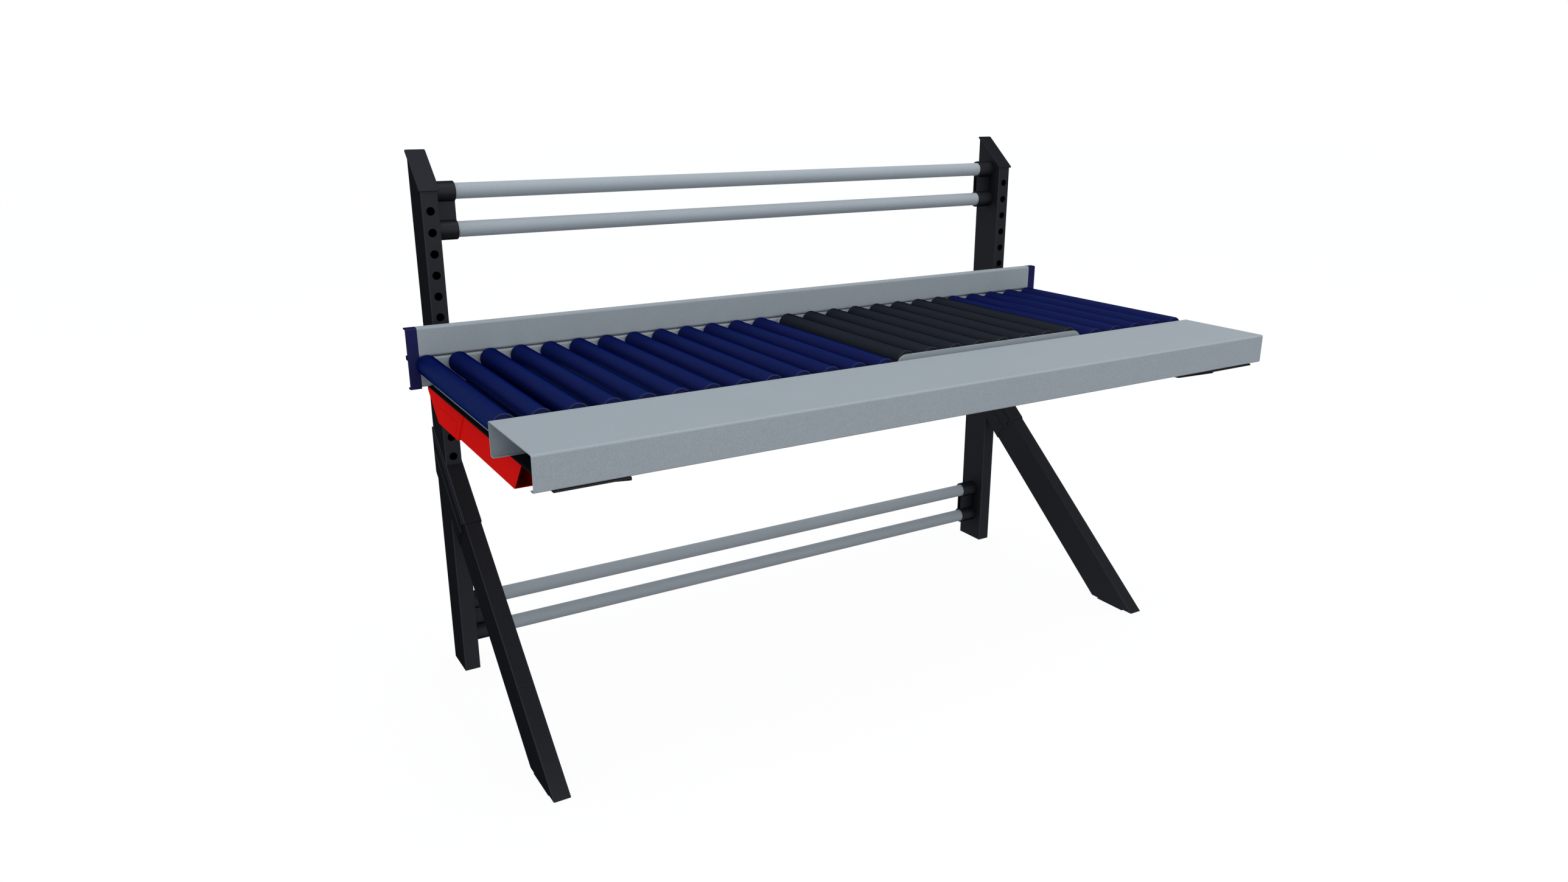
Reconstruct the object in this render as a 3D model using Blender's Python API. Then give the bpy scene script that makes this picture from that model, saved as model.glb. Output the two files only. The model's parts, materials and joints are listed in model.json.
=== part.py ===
"""Roller table: a bed of free-turning rollers on two side frames with leaning legs.

Each side frame is an upright, a leaning leg held by a knee, and a red cantilever arm. Two pairs
of round crossbars tie the frames together. The arms carry a roller bed between a wide front cover
and a stacked rear rail, and part of the bed is a raised weighing cradle with black rollers.

Sizes are in metres. X runs along the bed, Y from the operator's side to the back, and Z is up.
The origin is on the floor under the middle of the table. Below the root empty, Y is zero on the
front faces of the uprights, and "forward" is a distance from there towards the operator.
"""

from math import atan2, cos, pi, radians, sin, tan

import bmesh
import bpy
from mathutils import Matrix, Vector
from mathutils.geometry import intersect_line_plane

# Fits and sheet metal
FIT = 0.0003                # gap between pieces that touch
SHEET = 0.002               # thickness of the folded sheet
BEND = 0.003                # outer radius of a fold
EDGE = 0.001                # broken edge on moulded and cut pieces

# Roller bed
ROLLER_COUNT = 26
ROLLER_PITCH = 0.075
ROLLER_DIAMETER = 0.050
ROLLER_RIM = 0.0025         # width of the rim round the dished roller end
ROLLER_SINK = 0.002         # depth of the dished roller end
ROLLER_END_GAP = 0.0083     # from a roller's end to the rail that carries it
AXLE_FLATS = 0.011          # hexagon axle, across its flats
AXLE_GRIP = 0.010           # length of the axle inside a roller's end
AXLE_TAIL = 0.003           # length of the axle past the far side of its rail
AXLE_HEIGHT = 0.0536        # roller axis above the underside of the bed
WEIGH_FIRST = 13            # rollers to the left of the weighing cradle
WEIGH_COUNT = 8
WEIGH_RISE = 0.007          # weighing rollers above the other rollers
WEIGH_END_GAP = 0.002       # from a weighing roller's end to its side plate
WEIGH_INSET = 0.0231        # from the bed's rails to the cradle's side plates
CRADLE_SHEET = 0.004
CRADLE_END = 0.0305         # side plate past the outer roller axes
CRADLE_RISE = 0.0162        # top of a side plate above the weighing roller axis
CRADLE_CORNER = 0.026
CRADLE_FOOT = 0.025         # foot of a side plate, folded in under the rollers

# Rails and cover of the bed
BED_HEIGHT = 0.7927         # underside of the bed
BED_WIDTH = 0.6027          # clear width between rear rail and front cover
BED_GAP = 0.040             # from the uprights to the back of the rear rail
RAIL_HEIGHT = 0.0709
RAIL_DEPTH = 0.020
RAIL_STACK_GAP = 0.0006     # between the side rail and the guide rail on it
RAIL_TRIM = 0.0233          # rail ends short of the roller pattern's ends
RAIL_CAP_LENGTH = 0.0265
RAIL_CAP_WALL = 0.0035
RAIL_CAP_DROP = 0.0025      # rail caps below the rails
RAIL_CAP_MIDDLE = 0.010     # height of the double rib between the two rails
RAIL_CAP_TONGUE = 0.006     # length of the tongues in the rail ends
COVER_DEPTH = 0.2471
COVER_LIP = 0.016
COVER_TRIM = 0.0045         # cover ends short of the roller pattern's ends
CROSS_WIDTH = 0.030
CROSS_HEIGHT = 0.020
CROSS_INSET = 0.0097        # end cross-member inside the bed bracket's outer edge

# Bed brackets on the arms
BRACKET_THICKNESS = 0.0042
BRACKET_OUTER = 0.0547      # from the arm's middle to the outer edge
BRACKET_INNER = 0.093       # from the arm's middle to the inner edge
BRACKET_FLANGE = 0.0365     # depth of the inner flange below the plate
BRACKET_NOSE = 0.0025       # depth of the inner flange at its front end
BRACKET_TAPER = 0.1006      # length over which the inner flange grows

# Side frames
FRAME_INSET = 0.095         # uprights inside the roller pattern's ends
LEAN = radians(40.0)        # slope of the legs, and of the upright's top
TUBE_WIDTH = 0.040
TUBE_DEPTH = 0.100
TUBE_WALL = 0.003
TUBE_CORNER = 0.003
UPRIGHT_HEIGHT = 1.2405     # at the front face
HOLE_DIAMETER = 0.020
HOLE_PITCH = 0.050
HOLE_COUNT = 13
HOLE_DROP = 0.0475          # top hole below the upright's front edge
CAP_THICKNESS = 0.0035
CAP_OVERHANG = 0.0043
CAP_CORNER = 0.004
CAP_PLUG = 0.014            # depth of the cap's plug in the tube

# Leg and knee
KNEE_DROP = 0.1733          # leg axis at the upright, below the arm's sleeve
KNEE_WALL = 0.0024
KNEE_SLEEVE = 0.1255        # sleeve along the leg, in front of the upright
KNEE_CORNER = 0.006
GLIDE_HEIGHT = 0.0035
GLIDE_LENGTH = 0.096
GLIDE_WIDTH = 0.038
GLIDE_SETBACK = 0.0355      # glide behind the leg's toe
GLIDE_PLUG = 0.012

# Arm and its sleeve
ARM_HEIGHT = 0.1025
ARM_REACH = 0.650           # top edge of the arm, forward of the upright
ARM_WALL = 0.003
ARM_END = radians(50.0)     # slope of the arm's and the sleeve's cut ends
SLEEVE_WALL = 0.0035
SLEEVE_DROP = 0.0079        # sleeve below the arm
SLEEVE_REACH = 0.154        # bottom edge of the sleeve, forward of the upright
SLEEVE_HEEL = 0.0183        # bottom edge of the sleeve, behind the upright's front
SLEEVE_CORNER = 0.003

# Grooves in the sides of the knee and of the arm's sleeve. A tail is a groove's short end,
# which runs along the sleeve's cut end.
GROOVE_WIDTH = 0.0022
GROOVE_DEPTH = 0.001
GROOVE_BEND = 0.006
KNEE_GROOVE_INSET = 0.0105  # inside the sleeve's end
KNEE_GROOVE_BACK = 0.064    # ends of the grooves, behind the upright's front
KNEE_UPPER_GROOVE = 0.036   # above the leg's axis
KNEE_LOWER_GROOVE = 0.003   # below the leg's axis
KNEE_UPPER_TAIL = 0.018
KNEE_LOWER_TAIL = 0.035
ARM_GROOVE_INSET = 0.0295   # inside the sleeve's end
ARM_UPPER_GROOVE = 0.0863   # above the sleeve's bottom edge
ARM_LOWER_GROOVE = 0.0473   # above the sleeve's bottom edge
ARM_UPPER_BACK = 0.060      # end of the upper groove, behind the upright's front
ARM_LOWER_BACK = 0.005      # where the lower groove turns up
ARM_LOWER_RISE = 0.022
ARM_UPPER_TAIL = 0.0215     # measured upright, as is the next
ARM_LOWER_TAIL = 0.036

# Crossbars and their sockets
CROSSBAR_DIAMETER = 0.038
CROSSBAR_WALL = 0.002
CROSSBAR_SPACING = 0.0905
UPPER_PAIR_DROP = 0.0520    # middle of the upper pair, below the upright's front edge
LOWER_PAIR_HEIGHT = 0.129   # middle of the lower pair, above the floor
SOCKET_DIAMETER = 0.048
SOCKET_LENGTH = 0.0502
SOCKET_FLOOR = 0.008
SOCKET_WEB_FRONT = 0.0058   # web in front of the crossbars' axes
SOCKET_WEB_BACK = 0.0075    # web behind them
SOCKET_ROUND = 0.004

# Facets of round shapes
ROLLER_SIDES = 16
TUBE_SIDES = 16
HOLE_SIDES = 12
ARC_STEPS = 2

# Finishes: colour, roughness, metallic
BLACK_COAT = ("black_coat", (0.012, 0.013, 0.015), 0.55, 0.0)
BLACK_PLASTIC = ("black_plastic", (0.014, 0.014, 0.016), 0.60, 0.0)
RED_COAT = ("red_coat", (0.48, 0.008, 0.006), 0.45, 0.0)
GREY_COAT = ("grey_coat", (0.33, 0.38, 0.42), 0.42, 0.3)
GREY_TUBE = ("grey_tube", (0.33, 0.37, 0.40), 0.38, 0.3)
NAVY_PLASTIC = ("navy_plastic", (0.010, 0.012, 0.062), 0.50, 0.0)
BLUE_ROLLER = ("blue_roller", (0.004, 0.009, 0.095), 0.42, 0.0)
BLACK_ROLLER = ("black_roller", (0.017, 0.019, 0.024), 0.60, 0.0)

# Places worked out from the sizes above
BED_LENGTH = ROLLER_COUNT * ROLLER_PITCH
FRAME_X = BED_LENGTH / 2 - FRAME_INSET
RAIL_X = BED_LENGTH / 2 - RAIL_TRIM
COVER_X = BED_LENGTH / 2 - COVER_TRIM
RAIL_BACK = -BED_GAP
RAIL_FRONT = RAIL_BACK - RAIL_DEPTH
COVER_BACK = RAIL_FRONT - BED_WIDTH
COVER_FRONT = COVER_BACK - COVER_DEPTH
RAIL_TOP = BED_HEIGHT + RAIL_HEIGHT
GUIDE_BOTTOM = RAIL_TOP + RAIL_STACK_GAP
GUIDE_TOP = GUIDE_BOTTOM + RAIL_HEIGHT
AXLE_Z = BED_HEIGHT + AXLE_HEIGHT
WEIGH_Z = AXLE_Z + WEIGH_RISE
CROSS_TOP = BED_HEIGHT + CROSS_HEIGHT
BRACKET_TOP = BED_HEIGHT - FIT
BRACKET_BOTTOM = BRACKET_TOP - BRACKET_THICKNESS
ARM_TOP = BRACKET_BOTTOM - FIT
ARM_BOTTOM = ARM_TOP - ARM_HEIGHT
SLEEVE_BOTTOM = ARM_BOTTOM - SLEEVE_DROP
KNEE_HEIGHT = SLEEVE_BOTTOM - KNEE_DROP
HALF_WIDTH = TUBE_WIDTH / 2
HALF_DEPTH = TUBE_DEPTH / 2
LEG_TOE = -(KNEE_HEIGHT + HALF_DEPTH / cos(LEAN) - GLIDE_HEIGHT) / tan(LEAN)
CAP_BACK = TUBE_DEPTH + CAP_OVERHANG * cos(LEAN) - FIT * sin(LEAN)
ORIGIN_Y = -(COVER_FRONT + CAP_BACK) / 2

LEAN_UP = Vector((0, cos(LEAN), sin(LEAN)))
LEAN_OUT = Vector((0, -sin(LEAN), cos(LEAN)))


# Outlines

def circle(radius, sides):
    """Points of a circle about the origin."""
    return [(radius * cos(2 * pi * i / sides), radius * sin(2 * pi * i / sides)) for i in range(sides)]


def hexagon(flats):
    """Points of a hexagon with the given size across its flats."""
    return circle(flats / 2 / cos(pi / 6), 6)


def shifted(points, da, db):
    """An outline moved in its own plane."""
    return [(a + da, b + db) for a, b in points]


def rounded(corners):
    """Outline through (a, b, radius) corners, with an arc wherever the radius isn't zero."""
    points = []
    for i, (a, b, radius) in enumerate(corners):
        here = Vector((a, b))
        if radius == 0:
            points.append((a, b))
            continue
        before = (Vector(corners[i - 1][:2]) - here).normalized()
        after = (Vector(corners[(i + 1) % len(corners)][:2]) - here).normalized()
        half = before.angle(after) / 2
        centre = here + (before + after).normalized() * radius / sin(half)
        start = here + before * radius / tan(half) - centre
        finish = here + after * radius / tan(half) - centre
        first = atan2(start.y, start.x)
        sweep = (atan2(finish.y, finish.x) - first + pi) % (2 * pi) - pi
        for step in range(ARC_STEPS + 1):
            angle = first + sweep * step / ARC_STEPS
            points.append((centre.x + radius * cos(angle), centre.y + radius * sin(angle)))
    return points


def rectangle(width, height, radius=0.0):
    """Rectangle about the origin, with rounded corners."""
    a = width / 2
    b = height / 2
    return rounded([(-a, -b, radius), (a, -b, radius), (a, b, radius), (-a, b, radius)])


def beside(path, distance):
    """An open path moved sideways, to the right of its direction."""
    sides = []
    for start, end in zip(path, path[1:]):
        along = (Vector(end) - Vector(start)).normalized()
        sides.append(Vector((along.y, -along.x)))
    moved = []
    for here, before, after in zip(path, sides[:1] + sides, sides + sides[-1:]):
        between = (before + after).normalized()
        moved.append(Vector(here) + between * distance / between.dot(before))
    return moved


def folded(path, thickness, bend):
    """Section of a folded sheet whose left side runs along a path. Bend is the outer radius."""
    left = [(*path[0], 0)]
    right = [(*beside(path, thickness)[0], 0)]
    corners = zip(path, path[1:], path[2:], beside(path, thickness)[1:])
    for before, here, after, opposite in corners:
        turn = (Vector(here) - Vector(before)).cross(Vector(after) - Vector(here))
        outer_first = (bend, bend - thickness)
        near, far = outer_first if turn < 0 else outer_first[::-1]
        left.append((*here, near))
        right.append((*opposite, far))
    left.append((*path[-1], 0))
    right.append((*beside(path, thickness)[-1], 0))
    return rounded(left + right[::-1])


def inset(points, distance):
    """A closed counter-clockwise outline moved inwards all round."""
    moved = []
    for i, here in enumerate(points):
        into = (Vector(here) - Vector(points[i - 1])).normalized()
        away = (Vector(points[(i + 1) % len(points)]) - Vector(here)).normalized()
        left = Vector((-into.y - away.y, into.x + away.x)).normalized()
        moved.append(Vector(here) + left * distance / left.dot(Vector((-into.y, into.x))))
    return [tuple(point) for point in moved]


# Solids

def on_x(points, x):
    return [(x, a, b) for a, b in points]


def on_y(points, y):
    return [(a, y, b) for a, b in points]


def on_z(points, z):
    return [(a, b, z) for a, b in points]


def skin(bm, loops, ring=False):
    """Join equal loops in order. A ring closes on its first loop, and a bar is capped."""
    rows = [[bm.verts.new(point) for point in loop] for loop in loops]
    pairs = list(zip(rows, rows[1:]))
    if ring:
        pairs.append((rows[-1], rows[0]))
    else:
        bm.faces.new(rows[0])
        bm.faces.new(rows[-1])
    for near, far in pairs:
        for i in range(len(near)):
            bm.faces.new((near[i - 1], near[i], far[i], far[i - 1]))


def prism(bm, outline, place, low, high, edge=0.0):
    """An outline drawn out along an axis, with broken edges at both ends if asked."""
    if edge:
        slim = inset(outline, edge)
        skin(bm, [place(slim, low), place(outline, low + edge),
                  place(outline, high - edge), place(slim, high)])
    else:
        skin(bm, [place(outline, low), place(outline, high)])


def run(bm, outer, inner, frame, lower, upper):
    """A straight tube, or a bar without inner, along the frame's Z between two planes."""
    along = frame.to_3x3().col[2]

    def cut_at(section, plane):
        starts = [frame @ Vector((a, b, 0)) for a, b in section]
        return [intersect_line_plane(p, p + along, *plane) for p in starts]

    loops = [cut_at(outer, lower), cut_at(outer, upper)]
    if inner:
        loops += [cut_at(inner, upper), cut_at(inner, lower)]
    skin(bm, loops, ring=bool(inner))


def frame_at(origin, x_axis, y_axis, z_axis):
    """Placing matrix from an origin and three directions."""
    turn = Matrix((x_axis, y_axis, z_axis)).transposed()
    return Matrix.Translation(origin) @ turn.to_4x4()


def finish(name):
    """The Principled material of a finish, made once."""
    label, colour, roughness, metallic = name
    if label in bpy.data.materials:
        return bpy.data.materials[label]
    material = bpy.data.materials.new(label)
    material.use_nodes = True
    shader = material.node_tree.nodes["Principled BSDF"]
    shader.inputs["Base Color"].default_value = (*colour, 1)
    shader.inputs["Roughness"].default_value = roughness
    shader.inputs["Metallic"].default_value = metallic
    material.diffuse_color = (*colour, 1)
    return material


def mesh_of(name, bm):
    """A mesh from a bmesh, with its faces turned outwards and its round sides smooth."""
    bmesh.ops.recalc_face_normals(bm, faces=bm.faces)
    mesh = bpy.data.meshes.new(name)
    bm.to_mesh(mesh)
    bm.free()
    mesh.shade_smooth()
    mesh.set_sharp_from_angle(angle=radians(35))
    return mesh


def piece(name, mesh, material, location=(0, 0, 0)):
    """One named sub-part under the root empty."""
    obj = bpy.data.objects.new(name, mesh)
    mesh.materials.clear()
    mesh.materials.append(finish(material))
    obj.parent = bpy.data.objects["table"]
    obj.location = location
    bpy.context.collection.objects.link(obj)
    return obj


def combine(obj, bm, operation):
    """Boolean of a piece with a helper shape, which stays in the scene as a wire."""
    name = "{}_{}_{}".format(obj.name, operation.lower(), len(obj.modifiers))
    helper = bpy.data.objects.new(name, mesh_of(name, bm))
    helper.parent = obj.parent
    helper.hide_render = True
    helper.display_type = "WIRE"
    bpy.context.collection.objects.link(helper)
    modifier = obj.modifiers.new(name, "BOOLEAN")
    modifier.operation = operation
    modifier.solver = "EXACT"
    modifier.object = helper


def cut(obj, bm):
    combine(obj, bm, "DIFFERENCE")


def fuse(obj, bm):
    combine(obj, bm, "UNION")


def keep(obj, bm):
    combine(obj, bm, "INTERSECT")


# Side frames

def tube_section(shrink=0.0):
    """Section of the frame tube, smaller all round by shrink."""
    corner = max(TUBE_CORNER - shrink, EDGE)
    return rectangle(TUBE_WIDTH - 2 * shrink, TUBE_DEPTH - 2 * shrink, corner)


def sloped_top(lift):
    """Plane of the upright's sloped top, moved along its normal."""
    return Vector((0, 0, UPRIGHT_HEIGHT)) + LEAN_OUT * lift, LEAN_OUT


def level(z):
    return Vector((0, 0, z)), Vector((0, 0, 1))


def upright(name, x):
    frame = Matrix.Translation((x, HALF_DEPTH, 0))
    bm = bmesh.new()
    run(bm, tube_section(), tube_section(TUBE_WALL), frame, level(0), sloped_top(0))
    obj = piece(name, mesh_of(name, bm), BLACK_COAT)
    holes = bmesh.new()
    for i in range(HOLE_COUNT):
        z = UPRIGHT_HEIGHT - HOLE_DROP - i * HOLE_PITCH
        hole = shifted(circle(HOLE_DIAMETER / 2, HOLE_SIDES), x, z)
        prism(holes, hole, on_y, -TUBE_WALL, 2 * TUBE_WALL)
    cut(obj, holes)


def upright_cap(name, x):
    """Thin plate over the sloped top, with a plug that sits in the tube."""
    middle = Vector((x, HALF_DEPTH, UPRIGHT_HEIGHT + HALF_DEPTH * tan(LEAN)))
    frame = frame_at(middle, Vector((1, 0, 0)), LEAN_UP, LEAN_OUT)
    length = TUBE_DEPTH / cos(LEAN) + 2 * CAP_OVERHANG
    plate = rectangle(TUBE_WIDTH + 2 * CAP_OVERHANG, length, CAP_CORNER)
    crown = inset(plate, EDGE)
    bm = bmesh.new()
    levels = ((plate, FIT), (plate, FIT + CAP_THICKNESS - EDGE), (crown, FIT + CAP_THICKNESS))
    skin(bm, [[frame @ Vector((a, b, h)) for a, b in outline] for outline, h in levels])
    obj = piece(name, mesh_of(name, bm), BLACK_PLASTIC)
    plug = bmesh.new()
    inside = tube_section(TUBE_WALL + FIT)
    run(plug, inside, None, Matrix.Translation((x, HALF_DEPTH, 0)),
        sloped_top(-CAP_PLUG), sloped_top(FIT + CAP_THICKNESS / 2))
    fuse(obj, plug)


def leg_frame(x):
    """Frame of the leg's axis: its origin is where the axis meets the upright's front."""
    return frame_at((x, 0, KNEE_HEIGHT), Vector((-1, 0, 0)), LEAN_OUT, LEAN_UP)


def leg(name, x):
    before_upright = (Vector((0, -FIT, 0)), Vector((0, 1, 0)))
    bm = bmesh.new()
    run(bm, tube_section(), tube_section(TUBE_WALL), leg_frame(x), level(GLIDE_HEIGHT), before_upright)
    piece(name, mesh_of(name, bm), BLACK_COAT)


def leg_glide(name, x):
    """Plastic pad under the leg's level end, with a plug up the tube."""
    front = LEG_TOE + GLIDE_SETBACK
    back = front + GLIDE_LENGTH
    top = GLIDE_HEIGHT - FIT
    half = GLIDE_WIDTH / 2
    pad = [(front + EDGE, 0), (back - EDGE, 0), (back, EDGE), (back, top), (front, top), (front, EDGE)]
    bm = bmesh.new()
    prism(bm, pad, on_x, x - half, x + half)
    obj = piece(name, mesh_of(name, bm), BLACK_PLASTIC)
    offset = Vector((0, (front + back) / 2, GLIDE_HEIGHT - KNEE_HEIGHT)).dot(LEAN_OUT)
    width = TUBE_WIDTH - 2 * (TUBE_WALL + FIT)
    depth = (GLIDE_LENGTH - 2 * TUBE_WALL) * sin(LEAN)
    plug = bmesh.new()
    run(plug, shifted(rectangle(width, depth), 0, offset), None, leg_frame(x),
        level(top / 2), level(GLIDE_HEIGHT + GLIDE_PLUG))
    fuse(obj, plug)


def leg_point(t, v):
    """(y, z) of a point t along the leg's axis from the upright and v out from the axis."""
    point = LEAN_UP * t + LEAN_OUT * v
    return point.y, point.z + KNEE_HEIGHT


def upright_space(bm, x, low, high):
    """The room that a piece clasping the upright leaves for it, open at the back."""
    half = HALF_WIDTH + FIT
    corners = [(x - half, -FIT), (x + half, -FIT), (x + half, 2 * TUBE_DEPTH), (x - half, 2 * TUBE_DEPTH)]
    prism(bm, corners, on_z, low, high)


def grooves(obj, x, half, paths):
    """Shallow grooves along paths in both sides of a clasp."""
    bm = bmesh.new()
    for path in paths:
        band = folded(path, GROOVE_WIDTH, GROOVE_BEND)
        prism(bm, band, on_x, x - half - GROOVE_DEPTH, x - half + GROOVE_DEPTH)
        prism(bm, band, on_x, x + half - GROOVE_DEPTH, x + half + GROOVE_DEPTH)
    cut(obj, bm)


def knee(name, x):
    """Sleeve on the leg's upper end, whose two cheeks clasp the upright."""
    out = HALF_DEPTH + KNEE_WALL
    top_back = (TUBE_DEPTH + out * sin(LEAN)) / cos(LEAN)
    low_back = (TUBE_DEPTH - out * sin(LEAN)) / cos(LEAN)
    outline = rounded([(*leg_point(-KNEE_SLEEVE, -out), KNEE_CORNER),
                       (*leg_point(low_back, -out), KNEE_CORNER),
                       (*leg_point(top_back, out), KNEE_CORNER),
                       (*leg_point(-KNEE_SLEEVE, out), 2 * EDGE)])
    half = HALF_WIDTH + KNEE_WALL
    bm = bmesh.new()
    prism(bm, outline, on_x, x - half, x + half, EDGE)
    obj = piece(name, mesh_of(name, bm), BLACK_COAT)
    leg_room = bmesh.new()
    past_sleeve = (Vector((0, *leg_point(-2 * KNEE_SLEEVE, 0))), LEAN_UP)
    in_upright = (Vector((0, FIT, 0)), Vector((0, 1, 0)))
    run(leg_room, tube_section(-FIT), None, leg_frame(x), past_sleeve, in_upright)
    cut(obj, leg_room)
    upright_room = bmesh.new()
    upright_space(upright_room, x, KNEE_HEIGHT - 2 * TUBE_DEPTH, KNEE_HEIGHT + 3 * TUBE_DEPTH)
    cut(obj, upright_room)
    turn = KNEE_GROOVE_INSET - KNEE_SLEEVE
    paths = []
    for v, tail in ((KNEE_UPPER_GROOVE, KNEE_UPPER_TAIL), (-KNEE_LOWER_GROOVE, KNEE_LOWER_TAIL)):
        back = (KNEE_GROOVE_BACK + v * sin(LEAN)) / cos(LEAN)
        paths.append([leg_point(back, v), leg_point(turn, v), leg_point(turn, v - tail)])
    grooves(obj, x, half, paths)


def arm(name, x):
    """Red cantilever tube with a cut end, in a sleeve whose cheeks clasp the upright."""
    cut_run = 1 / tan(ARM_END)
    nose = -ARM_REACH
    in_sleeve = -SLEEVE_REACH / 2
    front = [(nose + ARM_HEIGHT * cut_run, ARM_BOTTOM), (in_sleeve, ARM_BOTTOM),
             (in_sleeve, ARM_TOP), (nose, ARM_TOP)]
    sleeve_height = ARM_TOP - SLEEVE_BOTTOM
    heel_top = SLEEVE_BOTTOM + (TUBE_DEPTH - SLEEVE_HEEL) * tan(LEAN)
    sleeve = rounded([(-SLEEVE_REACH, SLEEVE_BOTTOM, SLEEVE_CORNER),
                      (SLEEVE_HEEL, SLEEVE_BOTTOM, SLEEVE_CORNER),
                      (TUBE_DEPTH, heel_top, SLEEVE_CORNER), (TUBE_DEPTH, ARM_TOP, SLEEVE_CORNER),
                      (-SLEEVE_REACH - sleeve_height * cut_run, ARM_TOP, 0)])
    half = HALF_WIDTH + SLEEVE_WALL
    bm = bmesh.new()
    prism(bm, sleeve, on_x, x - half, x + half, EDGE)
    obj = piece(name, mesh_of(name, bm), RED_COAT)
    bar = bmesh.new()
    prism(bar, front, on_x, x - HALF_WIDTH, x + HALF_WIDTH, EDGE)
    fuse(obj, bar)
    hollow = bmesh.new()
    inside = shifted(rectangle(TUBE_WIDTH - 2 * ARM_WALL, ARM_HEIGHT - 2 * ARM_WALL),
                     x, (ARM_BOTTOM + ARM_TOP) / 2)
    prism(hollow, inside, on_y, nose - TUBE_DEPTH, FIT)
    cut(obj, hollow)
    upright_room = bmesh.new()
    upright_space(upright_room, x, SLEEVE_BOTTOM - TUBE_DEPTH, ARM_TOP + TUBE_DEPTH)
    cut(obj, upright_room)

    def turn_and_tail(height, tail):
        turn = ARM_GROOVE_INSET - SLEEVE_REACH - height * cut_run
        return [(turn, SLEEVE_BOTTOM + height), (turn + tail * cut_run, SLEEVE_BOTTOM + height - tail)]

    upper_start = [(ARM_UPPER_BACK, SLEEVE_BOTTOM + ARM_UPPER_GROOVE)]
    lower_start = [(ARM_LOWER_BACK + ARM_LOWER_RISE, SLEEVE_BOTTOM + ARM_LOWER_GROOVE + ARM_LOWER_RISE),
                   (ARM_LOWER_BACK, SLEEVE_BOTTOM + ARM_LOWER_GROOVE)]
    grooves(obj, x, half, [upper_start + turn_and_tail(ARM_UPPER_GROOVE, ARM_UPPER_TAIL),
                           lower_start + turn_and_tail(ARM_LOWER_GROOVE, ARM_LOWER_TAIL)])


def crossbar(name, z):
    reach = FRAME_X - HALF_WIDTH - FIT - SOCKET_FLOOR - FIT
    outer = circle(CROSSBAR_DIAMETER / 2, TUBE_SIDES)
    inner = circle(CROSSBAR_DIAMETER / 2 - CROSSBAR_WALL, TUBE_SIDES)
    ends = (-reach, reach)
    bm = bmesh.new()
    loops = [on_x(outer, end) for end in ends] + [on_x(inner, end) for end in reversed(ends)]
    skin(bm, loops, ring=True)
    piece(name, mesh_of(name, bm), GREY_TUBE, (0, HALF_DEPTH, z))


def socket(name, side, z):
    """Two round sockets on one web, on the inner face of an upright."""
    base = side * (FRAME_X - HALF_WIDTH - FIT)
    tip = base - side * SOCKET_LENGTH
    heights = (z - CROSSBAR_SPACING / 2, z + CROSSBAR_SPACING / 2)
    radius = SOCKET_DIAMETER / 2

    def boss(bm, height):
        loops = [on_x(shifted(circle(radius, TUBE_SIDES), HALF_DEPTH, height), base)]
        for step in range(ARC_STEPS + 1):
            angle = pi / 2 * step / ARC_STEPS
            ring = circle(radius - SOCKET_ROUND * (1 - cos(angle)), TUBE_SIDES)
            x = tip + side * SOCKET_ROUND * (1 - sin(angle))
            loops.append(on_x(shifted(ring, HALF_DEPTH, height), x))
        skin(bm, loops)

    bm = bmesh.new()
    boss(bm, heights[0])
    obj = piece(name, mesh_of(name, bm), BLACK_PLASTIC)
    other = bmesh.new()
    boss(other, heights[1])
    fuse(obj, other)
    web = bmesh.new()
    front = HALF_DEPTH - SOCKET_WEB_FRONT
    back = HALF_DEPTH + SOCKET_WEB_BACK
    strip = [(front, heights[0]), (back, heights[0]), (back, heights[1]), (front, heights[1])]
    prism(web, strip, on_x, *sorted((base, tip + side * EDGE)))
    fuse(obj, web)
    bores = bmesh.new()
    bore = circle(CROSSBAR_DIAMETER / 2 + FIT, TUBE_SIDES)
    for height in heights:
        bore_here = shifted(bore, HALF_DEPTH, height)
        prism(bores, bore_here, on_x, *sorted((base - side * SOCKET_FLOOR, tip - side * SOCKET_LENGTH)))
    cut(obj, bores)


def bed_bracket(name, side):
    """Plate on the arm's top, with a flange along its inner edge that tapers to the front."""
    outer = side * (FRAME_X + BRACKET_OUTER)
    inner = side * (FRAME_X - BRACKET_INNER)
    fold = inner + side * BRACKET_THICKNESS
    taper_end = COVER_FRONT + BRACKET_TAPER
    stations = ((COVER_FRONT, BRACKET_NOSE), (taper_end, BRACKET_FLANGE), (RAIL_BACK, BRACKET_FLANGE))
    loops = []
    for y, depth in stations:
        low = BRACKET_BOTTOM - depth
        section = [(outer, BRACKET_TOP), (inner, BRACKET_TOP), (inner, low),
                   (fold, low), (fold, BRACKET_BOTTOM), (outer, BRACKET_BOTTOM)]
        loops.append(on_y(section, y))
    bm = bmesh.new()
    skin(bm, loops)
    piece(name, mesh_of(name, bm), BLACK_COAT)


# Roller bed

def roller_x(index):
    """Middle of a roller along the bed, counted from the left."""
    return (index - (ROLLER_COUNT - 1) / 2) * ROLLER_PITCH


def is_weighing(index):
    return WEIGH_FIRST <= index < WEIGH_FIRST + WEIGH_COUNT


def axles(obj, indices, height, *spans):
    """Hexagon axle ends of some rollers, fused with the sheet that holds them."""
    bm = bmesh.new()
    for index in indices:
        flat_ended = shifted(hexagon(AXLE_FLATS), roller_x(index), height)
        for low, high in spans:
            prism(bm, flat_ended, on_y, low, high)
    fuse(obj, bm)


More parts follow.
